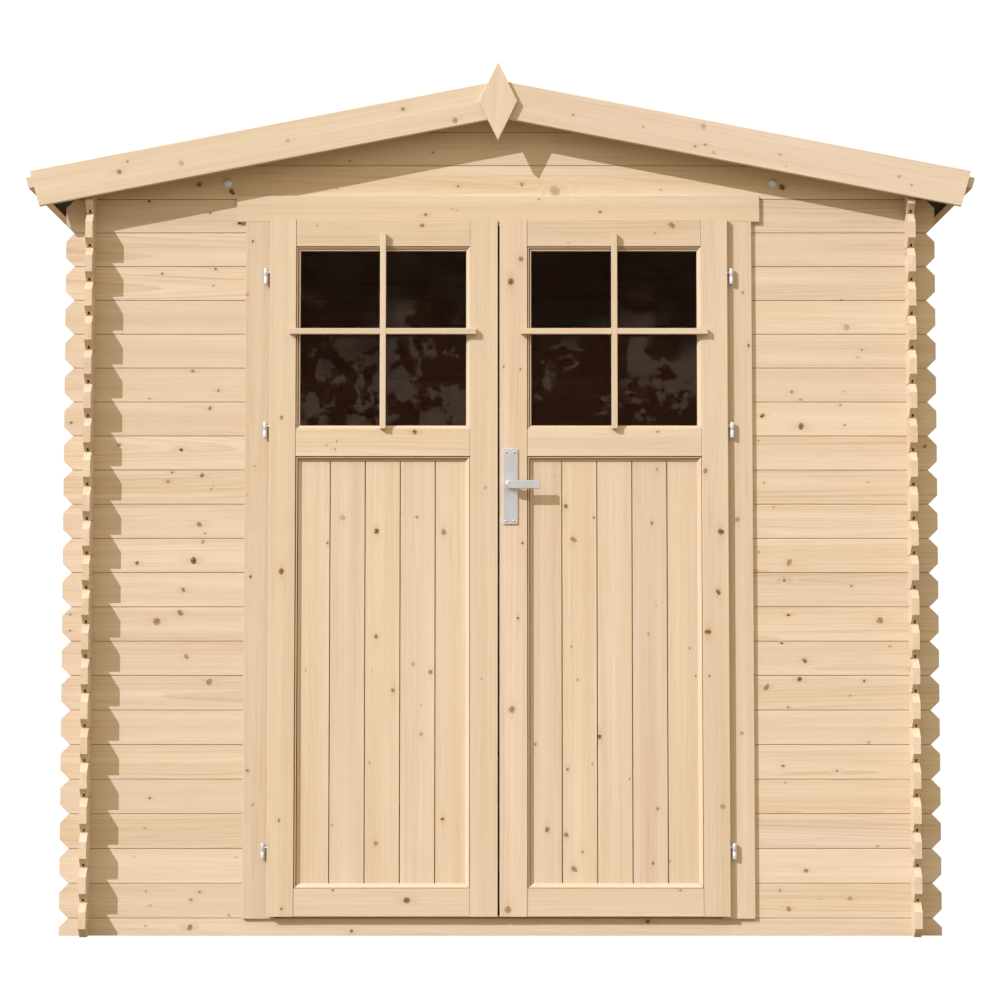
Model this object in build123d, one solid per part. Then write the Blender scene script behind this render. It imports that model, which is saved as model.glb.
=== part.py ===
from build123d import *
import math
import os

# Wooden garden shed of stacked boards with notched corners, a low gable roof and a pair of half-glazed doors.
# Millimetres. +Z up, the door side faces -Y, the origin is the bottom centre of the whole shed.

# ---------------------------------------------------------------- driving dimensions
BOARD_PITCH = 90.0          # height of one wall board
BOARD_T = 19.0              # thickness of one wall board
LOG_OVERHANG = 60.0         # how far every board runs past the crossing wall
END_CHAMFER = 23.5          # 45 degree chamfer on the board ends
WIDTH_OVER_LOGS = 2300.0    # X, tip to tip of the front boards
DEPTH_OVER_LOGS = 2000.0    # Y, tip to tip of the side boards
FRONT_COURSES = 21          # full boards above the half board, under the gable

ROOF_TAN = 0.19438          # tan of the 11 degree slope
BARGE_RIDGE_Z = 2237.0      # top edge of the bargeboards at the ridge
BARGE_DROP = 97.8           # bargeboard width measured upright
BARGE_T = 15.0
FELT_TOP_DROP = 12.4        # felt lies this far under the bargeboard's top edge
FELT_T = 3.0
DECK_T = 18.0
FELT_RETURN_X = 1152.0      # where the felt turned in under the eave stops
EAVE_X = 1230.4             # eave edge at the felt's top
EAVE_LEAN = 16.0            # the eave edge and the bargeboard ends lean in by this angle
EAVE_BATTEN = (18.0, 28.5)  # thickness, height

FINIAL_X = -6.0
FINIAL_HALF_W = 50.6
FINIAL_HALF_H = 103.5
FINIAL_Z = 2179.5
FINIAL_T = 14.0

PURLIN_W = 45.0
RIDGE_PURLIN_BOTTOM = 2083.0
SIDE_PURLIN_X = 722.5
SIDE_PURLIN_BOTTOM = 1940.0
BOLT_Z = 1979.0

DOOR_X = -4.5               # centre of the door set
CLEAR_HALF = 583.0          # half of the clear width between the jambs
JAMB_T = 42.0
JAMB_BACK = 35.0            # how far the jambs reach behind the outer wall face
CASING_T = 10.0
CASING_HALF = 668.5         # outer edge of the side casings
SILL_TOP = 45.0
HEAD_Z = (1862.0, 1904.0)
TRIM_Z = (1873.0, 1943.0)
TRIM_X = (-697.0, 685.0)

LEAF_W = 600.0
LEAF_Z = (51.5, 1878.0)
MEETING_GAP = 6.0
LEAF_FACE = 25.0            # leaf front face, in front of the wall
LIP_T = 10.0                # rebate lip that laps over the casing
LEAF_BACK = 17.0            # leaf back face, behind the outer wall face
SIDE_REBATE = 26.0          # lip width on the hinge side
STILE_W = 72.0
HINGE_STILE_W = 69.5
TOP_RAIL = (1805.0, 1878.0)
MID_RAIL = (1250.0, 1321.0)
BOTTOM_RAIL = (51.5, 124.0)
PANEL_T = 12.0
PANEL_FRONT = 13.0          # panel front face, in front of the wall
GLASS_T = 4.0
GLASS_FRONT = 8.0
BAR_W = 15.5
BAR_T = 15.0

HINGE_OUT = 614.0           # hinge axis from the door centre line
HINGE_FORWARD = 19.0        # hinge axis in front of the wall
HINGE_R = 5.5
HINGE_H = 42.0
HINGE_Z = (1726.5, 1319.5, 219.5)
PIN_R = 2.5

LOCK_X = 26.4               # centre of the handle plates
LOCK_Z = (1070.5, 1269.0)
PLATE_T = 4.0
LEVER_X = 25.0
LEVER_Z = 1174.0

# ---------------------------------------------------------------- derived
HX = WIDTH_OVER_LOGS / 2
HY = DEPTH_OVER_LOGS / 2
WX = HX - LOG_OVERHANG      # outer face of the side walls
WY = HY - LOG_OVERHANG      # outer face of the front and back walls
WALL_TOP = SILL_TOP + FRONT_COURSES * BOARD_PITCH
DECK_TOP_DROP = FELT_TOP_DROP + FELT_T / math.cos(math.atan(ROOF_TAN))
DECK_LOW_DROP = DECK_TOP_DROP + DECK_T / math.cos(math.atan(ROOF_TAN))
FELT_LOW_DROP = DECK_LOW_DROP + FELT_T / math.cos(math.atan(ROOF_TAN))

os.makedirs("parts", exist_ok=True)


def box(x0, x1, y0, y1, z0, z1):
    return Pos((x0 + x1) / 2, (y0 + y1) / 2, (z0 + z1) / 2) * Box(x1 - x0, y1 - y0, z1 - z0)


def prism_y(pts, y0, y1):
    """A polygon of (x, z) points, drawn out from y0 to y1."""
    face = make_face(Polyline([(x, y0, z) for x, z in pts], close=True))
    return extrude(face, amount=y1 - y0, dir=(0, 1, 0))


def prism_x(pts, x0, x1):
    """A polygon of (y, z) points, drawn out from x0 to x1."""
    face = make_face(Polyline([(x0, y, z) for y, z in pts], close=True))
    return extrude(face, amount=x1 - x0, dir=(1, 0, 0))


def rod(p, q, r):
    """A round bar from p to q."""
    d = Vector(*q) - Vector(*p)
    return Plane(origin=p, z_dir=d) * Cylinder(r, d.length, align=(Align.CENTER, Align.CENTER, Align.MIN))


def roof_z(x, drop):
    return BARGE_RIDGE_Z - drop - ROOF_TAN * abs(x)


def eave_point(drop, inset=0.0):
    """Where the line `drop` under the bargeboard's top edge meets the leaning eave edge."""
    s, c = math.sin(math.radians(EAVE_LEAN)), math.cos(math.radians(EAVE_LEAN))
    x0 = EAVE_X - inset / c
    z0 = roof_z(EAVE_X, FELT_TOP_DROP)
    t = (z0 - (BARGE_RIDGE_Z - drop - ROOF_TAN * x0)) / (c + ROOF_TAN * s)
    return (x0 - t * s, z0 - t * c)


def ends(tip, joints, first=None, last=None):
    """The zigzag outline of a stack of chamfered board ends, from the lowest joint to the highest."""
    pts = []
    sign = 1 if tip > 0 else -1
    root = tip - sign * END_CHAMFER
    for i, (low, high) in enumerate(zip(joints[:-1], joints[1:])):
        cut_low = not (first == "square" and i == 0)
        cut_high = not (last == "square" and i == len(joints) - 2)
        pts += [(root, low), (tip, low + END_CHAMFER)] if cut_low else [(tip, low)]
        pts += [(tip, high - END_CHAMFER), (root, high)] if cut_high else [(tip, high)]
    out = [pts[0]]
    for p in pts[1:]:
        if abs(p[0] - out[-1][0]) + abs(p[1] - out[-1][1]) > 1e-6:
            out.append(p)
    return out


def mirrored(pts):
    return [(-a, b) for a, b in pts]


def front_notches(side, y0, y1, z0, z1):
    """Where the side wall's boards pass through a front or back wall: one notch over every joint."""
    cut = []
    for k in range(-1, FRONT_COURSES + 1):
        joint = SILL_TOP + k * BOARD_PITCH
        low, high = max(joint - 22.5, z0 - 1), min(joint + 22.5, z1 + 1)
        if high > low and high > z0 and low < z1:
            x0, x1 = sorted((side * (WX - BOARD_T), side * WX))
            cut.append(box(x0, x1, y0 - 1, y1 + 1, low, high))
    return cut


def cut_all(solid, cutters):
    for c in cutters:
        solid = solid - c
    return solid


def save(shape, name):
    if isinstance(shape, (list, tuple)):
        shape = Compound(children=list(shape))
    export_step(shape, f"parts/{name}.step")


front_joints = [SILL_TOP + k * BOARD_PITCH for k in range(FRONT_COURSES + 1)]
sill_joints = [0.0, SILL_TOP]
side_joints = [k * BOARD_PITCH for k in range(22)]

# ---------------------------------------------------------------- front wall, round the doorway
yo, yi = -WY, -WY + BOARD_T
wall_gap = CLEAR_HALF + JAMB_T

right_end = ends(HX, front_joints)
wall = prism_y([(DOOR_X + wall_gap, SILL_TOP)] + right_end + [(DOOR_X + wall_gap, WALL_TOP)], yo, yi)
save(cut_all(wall, front_notches(1, yo, yi, SILL_TOP, WALL_TOP)), "front_wall_right")

left_end = mirrored(right_end)
wall = prism_y([(DOOR_X - wall_gap, SILL_TOP)] + left_end + [(DOOR_X - wall_gap, WALL_TOP)], yo, yi)
save(cut_all(wall, front_notches(-1, yo, yi, SILL_TOP, WALL_TOP)), "front_wall_left")

sill_end = ends(HX, sill_joints, first="square")
sill = prism_y(sill_end + mirrored(sill_end)[::-1], yo, yi)
sill = cut_all(sill, front_notches(1, yo, yi, 0, SILL_TOP) + front_notches(-1, yo, yi, 0, SILL_TOP))
save(sill, "front_sill_board")

save(box(DOOR_X - wall_gap, DOOR_X + wall_gap, yo, yi, HEAD_Z[1], WALL_TOP), "front_lintel_board")


def gable(y0, y1):
    gx = WX - BOARD_T
    return prism_y([(-gx, WALL_TOP), (gx, WALL_TOP), (gx, roof_z(gx, DECK_LOW_DROP)),
                    (0, roof_z(0, DECK_LOW_DROP)), (-gx, roof_z(gx, DECK_LOW_DROP))], y0, y1)


def bolt_holes(y0, y1):
    return [rod((s * SIDE_PURLIN_X, y0 - 5, BOLT_Z), (s * SIDE_PURLIN_X, y1 + 5, BOLT_Z), 4.3) for s in (-1, 1)]


save(cut_all(gable(yo, yi), bolt_holes(yo, yi)), "front_gable")

# ---------------------------------------------------------------- back wall
bo, bi = WY, WY - BOARD_T
back_end = ends(HX, [0.0] + front_joints, first="square")
wall = prism_y(back_end + mirrored(back_end)[::-1], bi, bo)
wall = cut_all(wall, front_notches(1, bi, bo, 0, WALL_TOP) + front_notches(-1, bi, bo, 0, WALL_TOP))
save(wall, "back_wall")
save(cut_all(gable(bi, bo), bolt_holes(bi, bo)), "back_gable")

# ---------------------------------------------------------------- side walls, bevelled under the roof
side_top = 2000.0
side_end = ends(HY, side_joints) + [(HY - END_CHAMFER, 21 * BOARD_PITCH), (HY, 21 * BOARD_PITCH + END_CHAMFER), (HY, 1922.0),
                               (HY - END_CHAMFER, 1922.0 + END_CHAMFER), (HY - END_CHAMFER, side_top)]
clean = [side_end[0]]
for p in side_end[1:]:
    if abs(p[0] - clean[-1][0]) + abs(p[1] - clean[-1][1]) > 1e-6:
        clean.append(p)
for side, name in ((-1, "left_wall"), (1, "right_wall")):
    x0, x1 = sorted((side * (WX - BOARD_T), side * WX))
    wall = prism_x(clean + mirrored(clean)[::-1], x0, x1)
    cuts = []
    for k in range(22):
        joint = k * BOARD_PITCH
        for y0, y1 in ((-WY, -WY + BOARD_T), (WY - BOARD_T, WY)):
            cuts.append(box(x0 - 1, x1 + 1, y0, y1, joint - 22.5, joint + 22.5))
    above = prism_y([(side * 900.0, roof_z(900, DECK_LOW_DROP)), (side * 1200.0, roof_z(1200, DECK_LOW_DROP)),
                     (side * 1200.0, 2200.0), (side * 900.0, 2200.0)], -HY - 5, HY + 5)
    save(cut_all(wall, cuts + [above]), name)

# ---------------------------------------------------------------- roof
for side, name in ((-1, "left"), (1, "right")):
    top = eave_point(DECK_TOP_DROP, FELT_T)
    low = eave_point(DECK_LOW_DROP, FELT_T)
    pts = [(0, roof_z(0, DECK_LOW_DROP)), (low[0], low[1]), (top[0], top[1]), (0, roof_z(0, DECK_TOP_DROP))]
    save(prism_y([(side * x, z) for x, z in pts], -HY, HY), f"roof_boards_{name}")

half = [eave_point(FELT_TOP_DROP), eave_point(FELT_LOW_DROP),
        (FELT_RETURN_X, roof_z(FELT_RETURN_X, FELT_LOW_DROP)), (FELT_RETURN_X, roof_z(FELT_RETURN_X, DECK_LOW_DROP)),
        eave_point(DECK_LOW_DROP, FELT_T), eave_point(DECK_TOP_DROP, FELT_T)]
felt = [(0, roof_z(0, FELT_TOP_DROP))] + half + [(0, roof_z(0, DECK_TOP_DROP))] + mirrored(half)[::-1]
save(prism_y(felt, -HY, HY), "roof_felt")

s16, c16 = math.sin(math.radians(EAVE_LEAN)), math.cos(math.radians(EAVE_LEAN))
p0 = eave_point(FELT_TOP_DROP)
bt, bh = EAVE_BATTEN
batten = [p0, (p0[0] - bh * s16, p0[1] - bh * c16), (p0[0] - bh * s16 + bt * c16, p0[1] - bh * c16 - bt * s16),
          (p0[0] + bt * c16, p0[1] - bt * s16)]
save([prism_y(batten, -HY, HY), prism_y(mirrored(batten), -HY, HY)], "eave_battens")

barge = [(0, BARGE_RIDGE_Z), (1235.0, roof_z(1235.0, 0)), (1208.5, roof_z(1208.5, BARGE_DROP)), (0, BARGE_RIDGE_Z - BARGE_DROP)]
for yb, where in ((-HY - BARGE_T, "front"), (HY, "back")):
    save(prism_y(barge, yb, yb + BARGE_T), f"bargeboard_{where}_right")
    save(prism_y(mirrored(barge), yb, yb + BARGE_T), f"bargeboard_{where}_left")

for x, yf, where in ((FINIAL_X, -HY - BARGE_T - FINIAL_T, "front"), (0.0, HY + BARGE_T, "back")):
    pts = [(x, FINIAL_Z - FINIAL_HALF_H), (x + FINIAL_HALF_W, FINIAL_Z), (x, FINIAL_Z + FINIAL_HALF_H), (x - FINIAL_HALF_W, FINIAL_Z)]
    save(prism_y(pts, yf, yf + FINIAL_T), f"finial_{where}")

hw = PURLIN_W / 2
pts = [(-hw, RIDGE_PURLIN_BOTTOM), (hw, RIDGE_PURLIN_BOTTOM), (hw, roof_z(hw, DECK_LOW_DROP)),
       (0, roof_z(0, DECK_LOW_DROP)), (-hw, roof_z(hw, DECK_LOW_DROP))]
save(prism_y(pts, -WY + BOARD_T, WY - BOARD_T), "ridge_purlin")

purlins = []
for side in (-1, 1):
    xa, xb = SIDE_PURLIN_X - hw, SIDE_PURLIN_X + hw
    pts = [(xa, SIDE_PURLIN_BOTTOM), (xb, SIDE_PURLIN_BOTTOM), (xb, roof_z(xb, DECK_LOW_DROP)), (xa, roof_z(xa, DECK_LOW_DROP))]
    beam = prism_y([(side * x, z) for x, z in pts], -WY + BOARD_T, WY - BOARD_T)
    for y0, y1 in ((-WY + BOARD_T - 1, -WY + BOARD_T + 51), (WY - BOARD_T - 51, WY - BOARD_T + 1)):
        beam = beam - rod((side * SIDE_PURLIN_X, y0, BOLT_Z), (side * SIDE_PURLIN_X, y1, BOLT_Z), 4.0)
    purlins.append(beam)
save(purlins, "side_purlins")

# dome-headed bolts through the gables into the ends of the side purlins
bolts = []
for side in (-1, 1):
    for face, inward in ((-WY, 1), (WY, -1)):
        x = side * SIDE_PURLIN_X
        shank = rod((x, face - inward * 1.0, BOLT_Z), (x, face + inward * (BOARD_T + 50), BOLT_Z), 4.0)
        ball = Pos(x, face + inward * 9.6, BOLT_Z) * Sphere(14.6)
        head = ball & rod((x, face, BOLT_Z), (x, face - inward * 8, BOLT_Z), 11.0)
        bolts.append(head + shank)
save(bolts, "gable_bolts")

# ---------------------------------------------------------------- door frame
jl, jr = DOOR_X - CLEAR_HALF, DOOR_X + CLEAR_HALF
axis_x = {"left": DOOR_X - HINGE_OUT, "right": DOOR_X + HINGE_OUT}
axis_y = -WY - HINGE_FORWARD


def screw_holes(side, r=3.0):
    x = axis_x[side]
    return [rod((x, -WY - CASING_T - 5, z - HINGE_H / 4), (x, -WY + 25, z - HINGE_H / 4), r) for z in HINGE_Z]


jambs = [cut_all(box(jl - JAMB_T, jl, -WY, -WY + JAMB_BACK, SILL_TOP, HEAD_Z[0]), screw_holes("left")),
         cut_all(box(jr, jr + JAMB_T, -WY, -WY + JAMB_BACK, SILL_TOP, HEAD_Z[0]), screw_holes("right"))]
save(jambs, "door_jambs")
head = box(jl - JAMB_T, jr + JAMB_T, -WY, -WY + JAMB_BACK, *HEAD_Z)
head = head + box(jl, jr, -WY - CASING_T, -WY, HEAD_Z[0], TRIM_Z[0])
save(head, "door_head_jamb")
save(cut_all(box(DOOR_X - CASING_HALF, jl, -WY - CASING_T, -WY, SILL_TOP, TRIM_Z[0]), screw_holes("left")), "door_casing_left")
save(cut_all(box(jr, DOOR_X + CASING_HALF, -WY - CASING_T, -WY, SILL_TOP, TRIM_Z[0]), screw_holes("right")), "door_casing_right")
save(box(*TRIM_X, -WY - CASING_T, -WY, *TRIM_Z), "door_head_trim")

# fixed halves of the hinges: lower knuckle, upright pin and a screw into the frame
fixed = []
for side in ("left", "right"):
    x = axis_x[side]
    for z in HINGE_Z:
        low = rod((x, axis_y, z - HINGE_H / 2), (x, axis_y, z - 0.3), HINGE_R)
        pin = rod((x, axis_y, z - 5), (x, axis_y, z + 14), PIN_R)
        screw = rod((x, axis_y, z - HINGE_H / 4), (x, -WY + 24.5, z - HINGE_H / 4), 3.0)
        fixed.append(low + pin + screw)
save(fixed, "hinge_frame_halves")

# ---------------------------------------------------------------- door leaves
front = -WY - LEAF_FACE
lip_back = front + LIP_T
back = -WY + LEAF_BACK


def stepped(x0, x1, b0, b1):
    """A stile of a rebated leaf: the lip from x0 to x1, the body behind it from b0 to b1."""
    lip = box(x0, x1, front, lip_back, *LEAF_Z)
    body = box(b0, b1, lip_back, back, BOTTOM_RAIL[0], HEAD_Z[0] - 6.0)
    return lip + body


def leaf(side):
    sign = -1 if side == "left" else 1
    outer = DOOR_X + sign * (MEETING_GAP / 2 + LEAF_W)       # hinge edge of the lip
    inner = DOOR_X + sign * MEETING_GAP / 2                  # meeting edge of the lip
    x0, x1 = sorted((outer, outer - sign * HINGE_STILE_W))
    b0, b1 = sorted((outer - sign * SIDE_REBATE, outer - sign * HINGE_STILE_W))
    outer_stile = stepped(x0, x1, b0, b1)
    for z in HINGE_Z:
        zz = z + HINGE_H / 4
        outer_stile = outer_stile - rod((outer + sign * 1, axis_y, zz), (outer - sign * 36, axis_y, zz), 3.0)
    x2, x3 = sorted((inner, inner + sign * STILE_W))
    c0, c1 = sorted((inner + sign * 2.0, inner + sign * STILE_W))
    meeting_stile = stepped(x2, x3, c0, c1)
    if side == "right":
        meeting_stile = meeting_stile - rod((LEVER_X, front - 1, LEVER_Z), (LEVER_X, back + 1, LEVER_Z), 12.0)

    r0, r1 = sorted((outer - sign * HINGE_STILE_W, inner + sign * STILE_W))
    top = box(r0, r1, front, lip_back, *TOP_RAIL) + box(r0, r1, lip_back, back, TOP_RAIL[0], HEAD_Z[0] - 6.0)
    rails = [top, box(r0, r1, front, back, *MID_RAIL), box(r0, r1, front, back, *BOTTOM_RAIL)]

    panel = box(r0, r1, -WY - PANEL_FRONT, -WY - PANEL_FRONT + PANEL_T, BOTTOM_RAIL[1], MID_RAIL[0])
    glass = box(r0, r1, -WY - GLASS_FRONT, -WY - GLASS_FRONT + GLASS_T, MID_RAIL[1], TOP_RAIL[0])
    xc = (r0 + r1) / 2
    bars = box(xc - BAR_W / 2, xc + BAR_W / 2, front - BAR_T, front, 1322.0, 1837.5)
    bars = bars + box(xc - 245.0, xc + 245.0, front - BAR_T, front, 1571.0, 1571.0 + BAR_W)

    x = axis_x[side]
    knuckles = []
    for z in HINGE_Z:
        zz = z + HINGE_H / 4
        up = rod((x, axis_y, z + 0.3), (x, axis_y, z + HINGE_H / 2), HINGE_R)
        up = up - rod((x, axis_y, z - 1), (x, axis_y, z + 14.6), PIN_R + 0.1)
        shank = rod((outer - sign * 35.0, axis_y, zz), (x - sign * 4.2, axis_y, zz), 3.0)
        knuckles.append(up + shank)
    for shape, node in ((outer_stile, "outer_stile"), (meeting_stile, "meeting_stile"), (rails, "rails"), (panel, "panel"),
                        (glass, "glass"), (bars, "glazing_bars"), (knuckles, "hinge_knuckles")):
        save(shape, f"{side}_leaf_{node}")


leaf("left")
leaf("right")

# ---------------------------------------------------------------- lock and lever on the right leaf
px0, px1 = LOCK_X - 19.2, LOCK_X + 19.2
plates = []
for y0, y1 in ((front - PLATE_T, front), (back, back + PLATE_T)):
    plate = box(px0, px1, y0, y1, *LOCK_Z)
    plate = fillet(plate.edges().filter_by(Axis.Y), 1.0)
    plate = plate - rod((LEVER_X, y0 - 1, LEVER_Z), (LEVER_X, y1 + 1, LEVER_Z), 10.0)
    plates.append(plate)
save(plates, "right_leaf_handle_plates")

edge = DOOR_X + MEETING_GAP / 2
face = box(edge, edge + 2.0, -WY - 10.0, -WY + 10.0, 1050.0, 1250.0)
latch = prism_y([(edge - 0.6, 1167.0), (edge + 1.0, 1167.0), (edge + 1.0, 1201.0), (edge - 0.6, 1201.0)], -WY - 6.0, -WY + 6.0)
save(face + latch, "right_leaf_lock_faceplate")


def lever(y_face, out):
    """One lever arm: a round neck on the plate and a flat bar pointing away from the meeting edge."""
    tip = y_face + out * 27.0
    neck = rod((LEVER_X, y_face - out * 2.0, LEVER_Z), (LEVER_X, tip - out * 1.0, LEVER_Z), 9.0)
    y0, y1 = sorted((tip - out * 6.0, tip))
    arm = box(LEVER_X, LEVER_X + 79.0, y0, y1, LEVER_Z - 11.0, LEVER_Z + 11.0)
    boss = rod((LEVER_X, y0, LEVER_Z), (LEVER_X, y1, LEVER_Z), 11.0)
    return neck + arm + boss


spindle = rod((LEVER_X, front - 2.0, LEVER_Z), (LEVER_X, back + 2.0, LEVER_Z), 5.0)
save(lever(front - PLATE_T, -1) + lever(back + PLATE_T, 1) + spindle, "lever_handle")
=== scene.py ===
import bmesh
import bpy
import math
import random
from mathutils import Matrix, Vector


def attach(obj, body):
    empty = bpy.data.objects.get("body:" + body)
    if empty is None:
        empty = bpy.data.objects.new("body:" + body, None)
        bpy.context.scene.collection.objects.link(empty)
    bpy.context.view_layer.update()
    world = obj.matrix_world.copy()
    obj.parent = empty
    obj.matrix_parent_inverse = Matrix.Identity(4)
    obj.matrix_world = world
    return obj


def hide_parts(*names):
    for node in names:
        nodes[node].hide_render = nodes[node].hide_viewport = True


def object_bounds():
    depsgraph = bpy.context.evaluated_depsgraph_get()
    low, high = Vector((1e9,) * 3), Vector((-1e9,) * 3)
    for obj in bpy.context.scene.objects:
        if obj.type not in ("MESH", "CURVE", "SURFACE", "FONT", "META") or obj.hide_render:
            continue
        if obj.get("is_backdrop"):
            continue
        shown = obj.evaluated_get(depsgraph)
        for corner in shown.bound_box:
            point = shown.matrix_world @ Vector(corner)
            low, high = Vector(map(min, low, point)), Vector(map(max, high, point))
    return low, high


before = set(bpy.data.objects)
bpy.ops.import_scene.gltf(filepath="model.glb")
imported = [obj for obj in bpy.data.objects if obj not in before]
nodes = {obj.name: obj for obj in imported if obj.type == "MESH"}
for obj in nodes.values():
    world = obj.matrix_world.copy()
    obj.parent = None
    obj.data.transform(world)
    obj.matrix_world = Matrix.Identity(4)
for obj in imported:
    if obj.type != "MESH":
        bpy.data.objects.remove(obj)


def plain(box):
    return [[float(c) for c in corner] for corner in box]


cad_box = plain(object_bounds())

# ------------------------------------------------------------------ sizes, in millimetres, as the frame has them
BOARD_T = 19.0
PITCH = 90.0
CHAMFER = 23.5
HX, HY, WX, WY = 1150.0, 1000.0, 1090.0, 940.0
SILL_TOP, WALL_TOP = 45.0, 1935.0
SLOPE = 0.19438
ALPHA = math.atan(SLOPE)
COS, SIN = math.cos(ALPHA), math.sin(ALPHA)
DECK_TOP = 12.4 + 3.0 / COS
DECK_LOW = DECK_TOP + 18.0 / COS
DOOR_X = -4.5
LEAF_FACE = -WY - 25.0
LIP_BACK = LEAF_FACE + 10.0
LEAF_BACK = -WY + 17.0


def roof_z(x, drop):
    return 2237.0 - drop - SLOPE * abs(x)


def eave_point(drop, inset=0.0):
    s, c = math.sin(math.radians(16.0)), math.cos(math.radians(16.0))
    x0 = 1230.4 - inset / c
    z0 = roof_z(1230.4, 12.4)
    t = (z0 - (2237.0 - drop - SLOPE * x0)) / (c + SLOPE * s)
    return x0 - t * s, z0 - t * c


# ------------------------------------------------------------------ mesh building
RNG = random.Random(41)
NO_KNOT = (99.0, 99.0, 0.0001)
NO_FORM = (1.0, 0.0, 0.0)


class Board:
    """One length of timber with its own axes: u along the grain, v across the face, w out of the face.
    knots are (u, v, radius, length over width, turn in degrees, darkness), in millimetres."""

    def __init__(self, o, U, V, W, knots=(), seed=None, vc=45.0):
        self.o, self.U, self.V, self.W = Vector(o), Vector(U), Vector(V), Vector(W)
        self.knots = sorted(knots)
        self.seed = seed or (RNG.random(), RNG.random(), RNG.random())
        self.vc = vc
        self.one_sided = False
        self.jointed = False

    def groups(self):
        out = []
        for k in self.knots:
            if out and (k[0] - out[-1][-1][0] < 45.0 and len(out[-1]) < 2):
                out[-1].append(k)
            else:
                out.append([k])
        return out

    def cuts(self, lo, hi):
        """Where the faces are split along the grain, so that each stretch holds one or two knots."""
        g = self.groups()
        mids = [(a[-1][0] + b[0][0]) / 2 for a, b in zip(g[:-1], g[1:])]
        return [m for m in mids if lo < m < hi]

    def near(self, u):
        g = self.groups()
        if not g:
            return []
        mids = [(a[-1][0] + b[0][0]) / 2 for a, b in zip(g[:-1], g[1:])]
        i = sum(1 for m in mids if u > m)
        return g[i]


class Piece:
    def __init__(self, name):
        self.name = name
        self.verts, self.faces, self.rows, self.keys, self.smooth, self.deep = [], [], [], {}, [], []

    def begin(self):
        """Later faces don't share points with earlier ones."""
        self.keys = {}

    # deep weights a face for the painted shade in the joints
    def face(self, board, pts, smooth=False, deep=0.0):
        ids, row = [], []
        for u, v, w in pts:
            key = (round(u, 3), round(v, 3), round(w, 3))
            if key not in self.keys:
                self.keys[key] = len(self.verts)
                self.verts.append(board.o + board.U * u + board.V * v + board.W * w)
            i = self.keys[key]
            if ids and i == ids[-1]:
                continue
            ids.append(i)
            row.append((u, v, w))
        if len(ids) > 1 and ids[0] == ids[-1]:
            ids.pop(), row.pop()
        if len(ids) < 3:
            return
        self.faces.append(ids)
        self.smooth.append(smooth)
        cu = sum(p[0] for p in row) / len(row)
        near = [] if board.one_sided and max(q[2] for q in row) < -15.0 else board.near(cu)
        ks = [(k[0] / 1000, (k[1] - board.vc) / 1000, 0.00092 * k[2] / math.sqrt(k[3])) for k in near] + [NO_KNOT, NO_KNOT]
        qs = [(0.5 + 0.5 * k[3], math.radians(k[4]), k[5]) for k in near] + [NO_FORM, NO_FORM]
        for u, v, w in row:
            self.rows.append(((u / 1000, (v - board.vc) / 1000, w / 1000), board.seed, ks[0], ks[1], qs[0], qs[1]))
            self.deep.append(deep)

    def build(self, body, material, replaces=(), slot=None):
        me = bpy.data.meshes.new(self.name)
        me.from_pydata([tuple(v * 0.001) for v in self.verts], [], self.faces)
        for i, key in enumerate(("gr", "bd", "k1", "k2", "q1", "q2")):
            attr = me.attributes.new(key, "FLOAT_VECTOR", "CORNER")
            flat = [c for row in self.rows for c in row[i]]
            attr.data.foreach_set("vector", flat)
        me.attributes.new("joint_painted_shade", "FLOAT", "CORNER").data.foreach_set("value", self.deep)
        me.polygons.foreach_set("use_smooth", self.smooth)
        me.update()
        ob = bpy.data.objects.new(self.name, me)
        bpy.context.scene.collection.objects.link(ob)
        bm = bmesh.new()
        bm.from_mesh(me)
        bmesh.ops.recalc_face_normals(bm, faces=bm.faces[:])
        bm.to_mesh(me)
        bm.free()
        me.materials.append(material)
        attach(ob, body)
        if replaces:
            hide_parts(*replaces)
        return ob


def clip_band(loop, lo, hi):
    """The part of a closed (v, w) outline between v = lo and v = hi."""
    def clip(pts, keep, level):
        out = []
        for (a, b) in zip(pts, pts[1:] + pts[:1]):
            ia, ib = keep(a[0]), keep(b[0])
            if ia:
                out.append(a)
            if ia != ib:
                t = (level - a[0]) / (b[0] - a[0])
                out.append((level, a[1] + t * (b[1] - a[1])))
        return out
    pts = list(loop)
    if lo is not None:
        pts = clip(pts, lambda v: v >= lo - 1e-9, lo)
    if hi is not None:
        pts = clip(pts, lambda v: v <= hi + 1e-9, hi)
    clean = []
    for p in pts:
        if not clean or abs(p[0] - clean[-1][0]) + abs(p[1] - clean[-1][1]) > 1e-6:
            clean.append(p)
    if len(clean) > 1 and abs(clean[0][0] - clean[-1][0]) + abs(clean[0][1] - clean[-1][1]) < 1e-6:
        clean.pop()
    return clean


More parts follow.
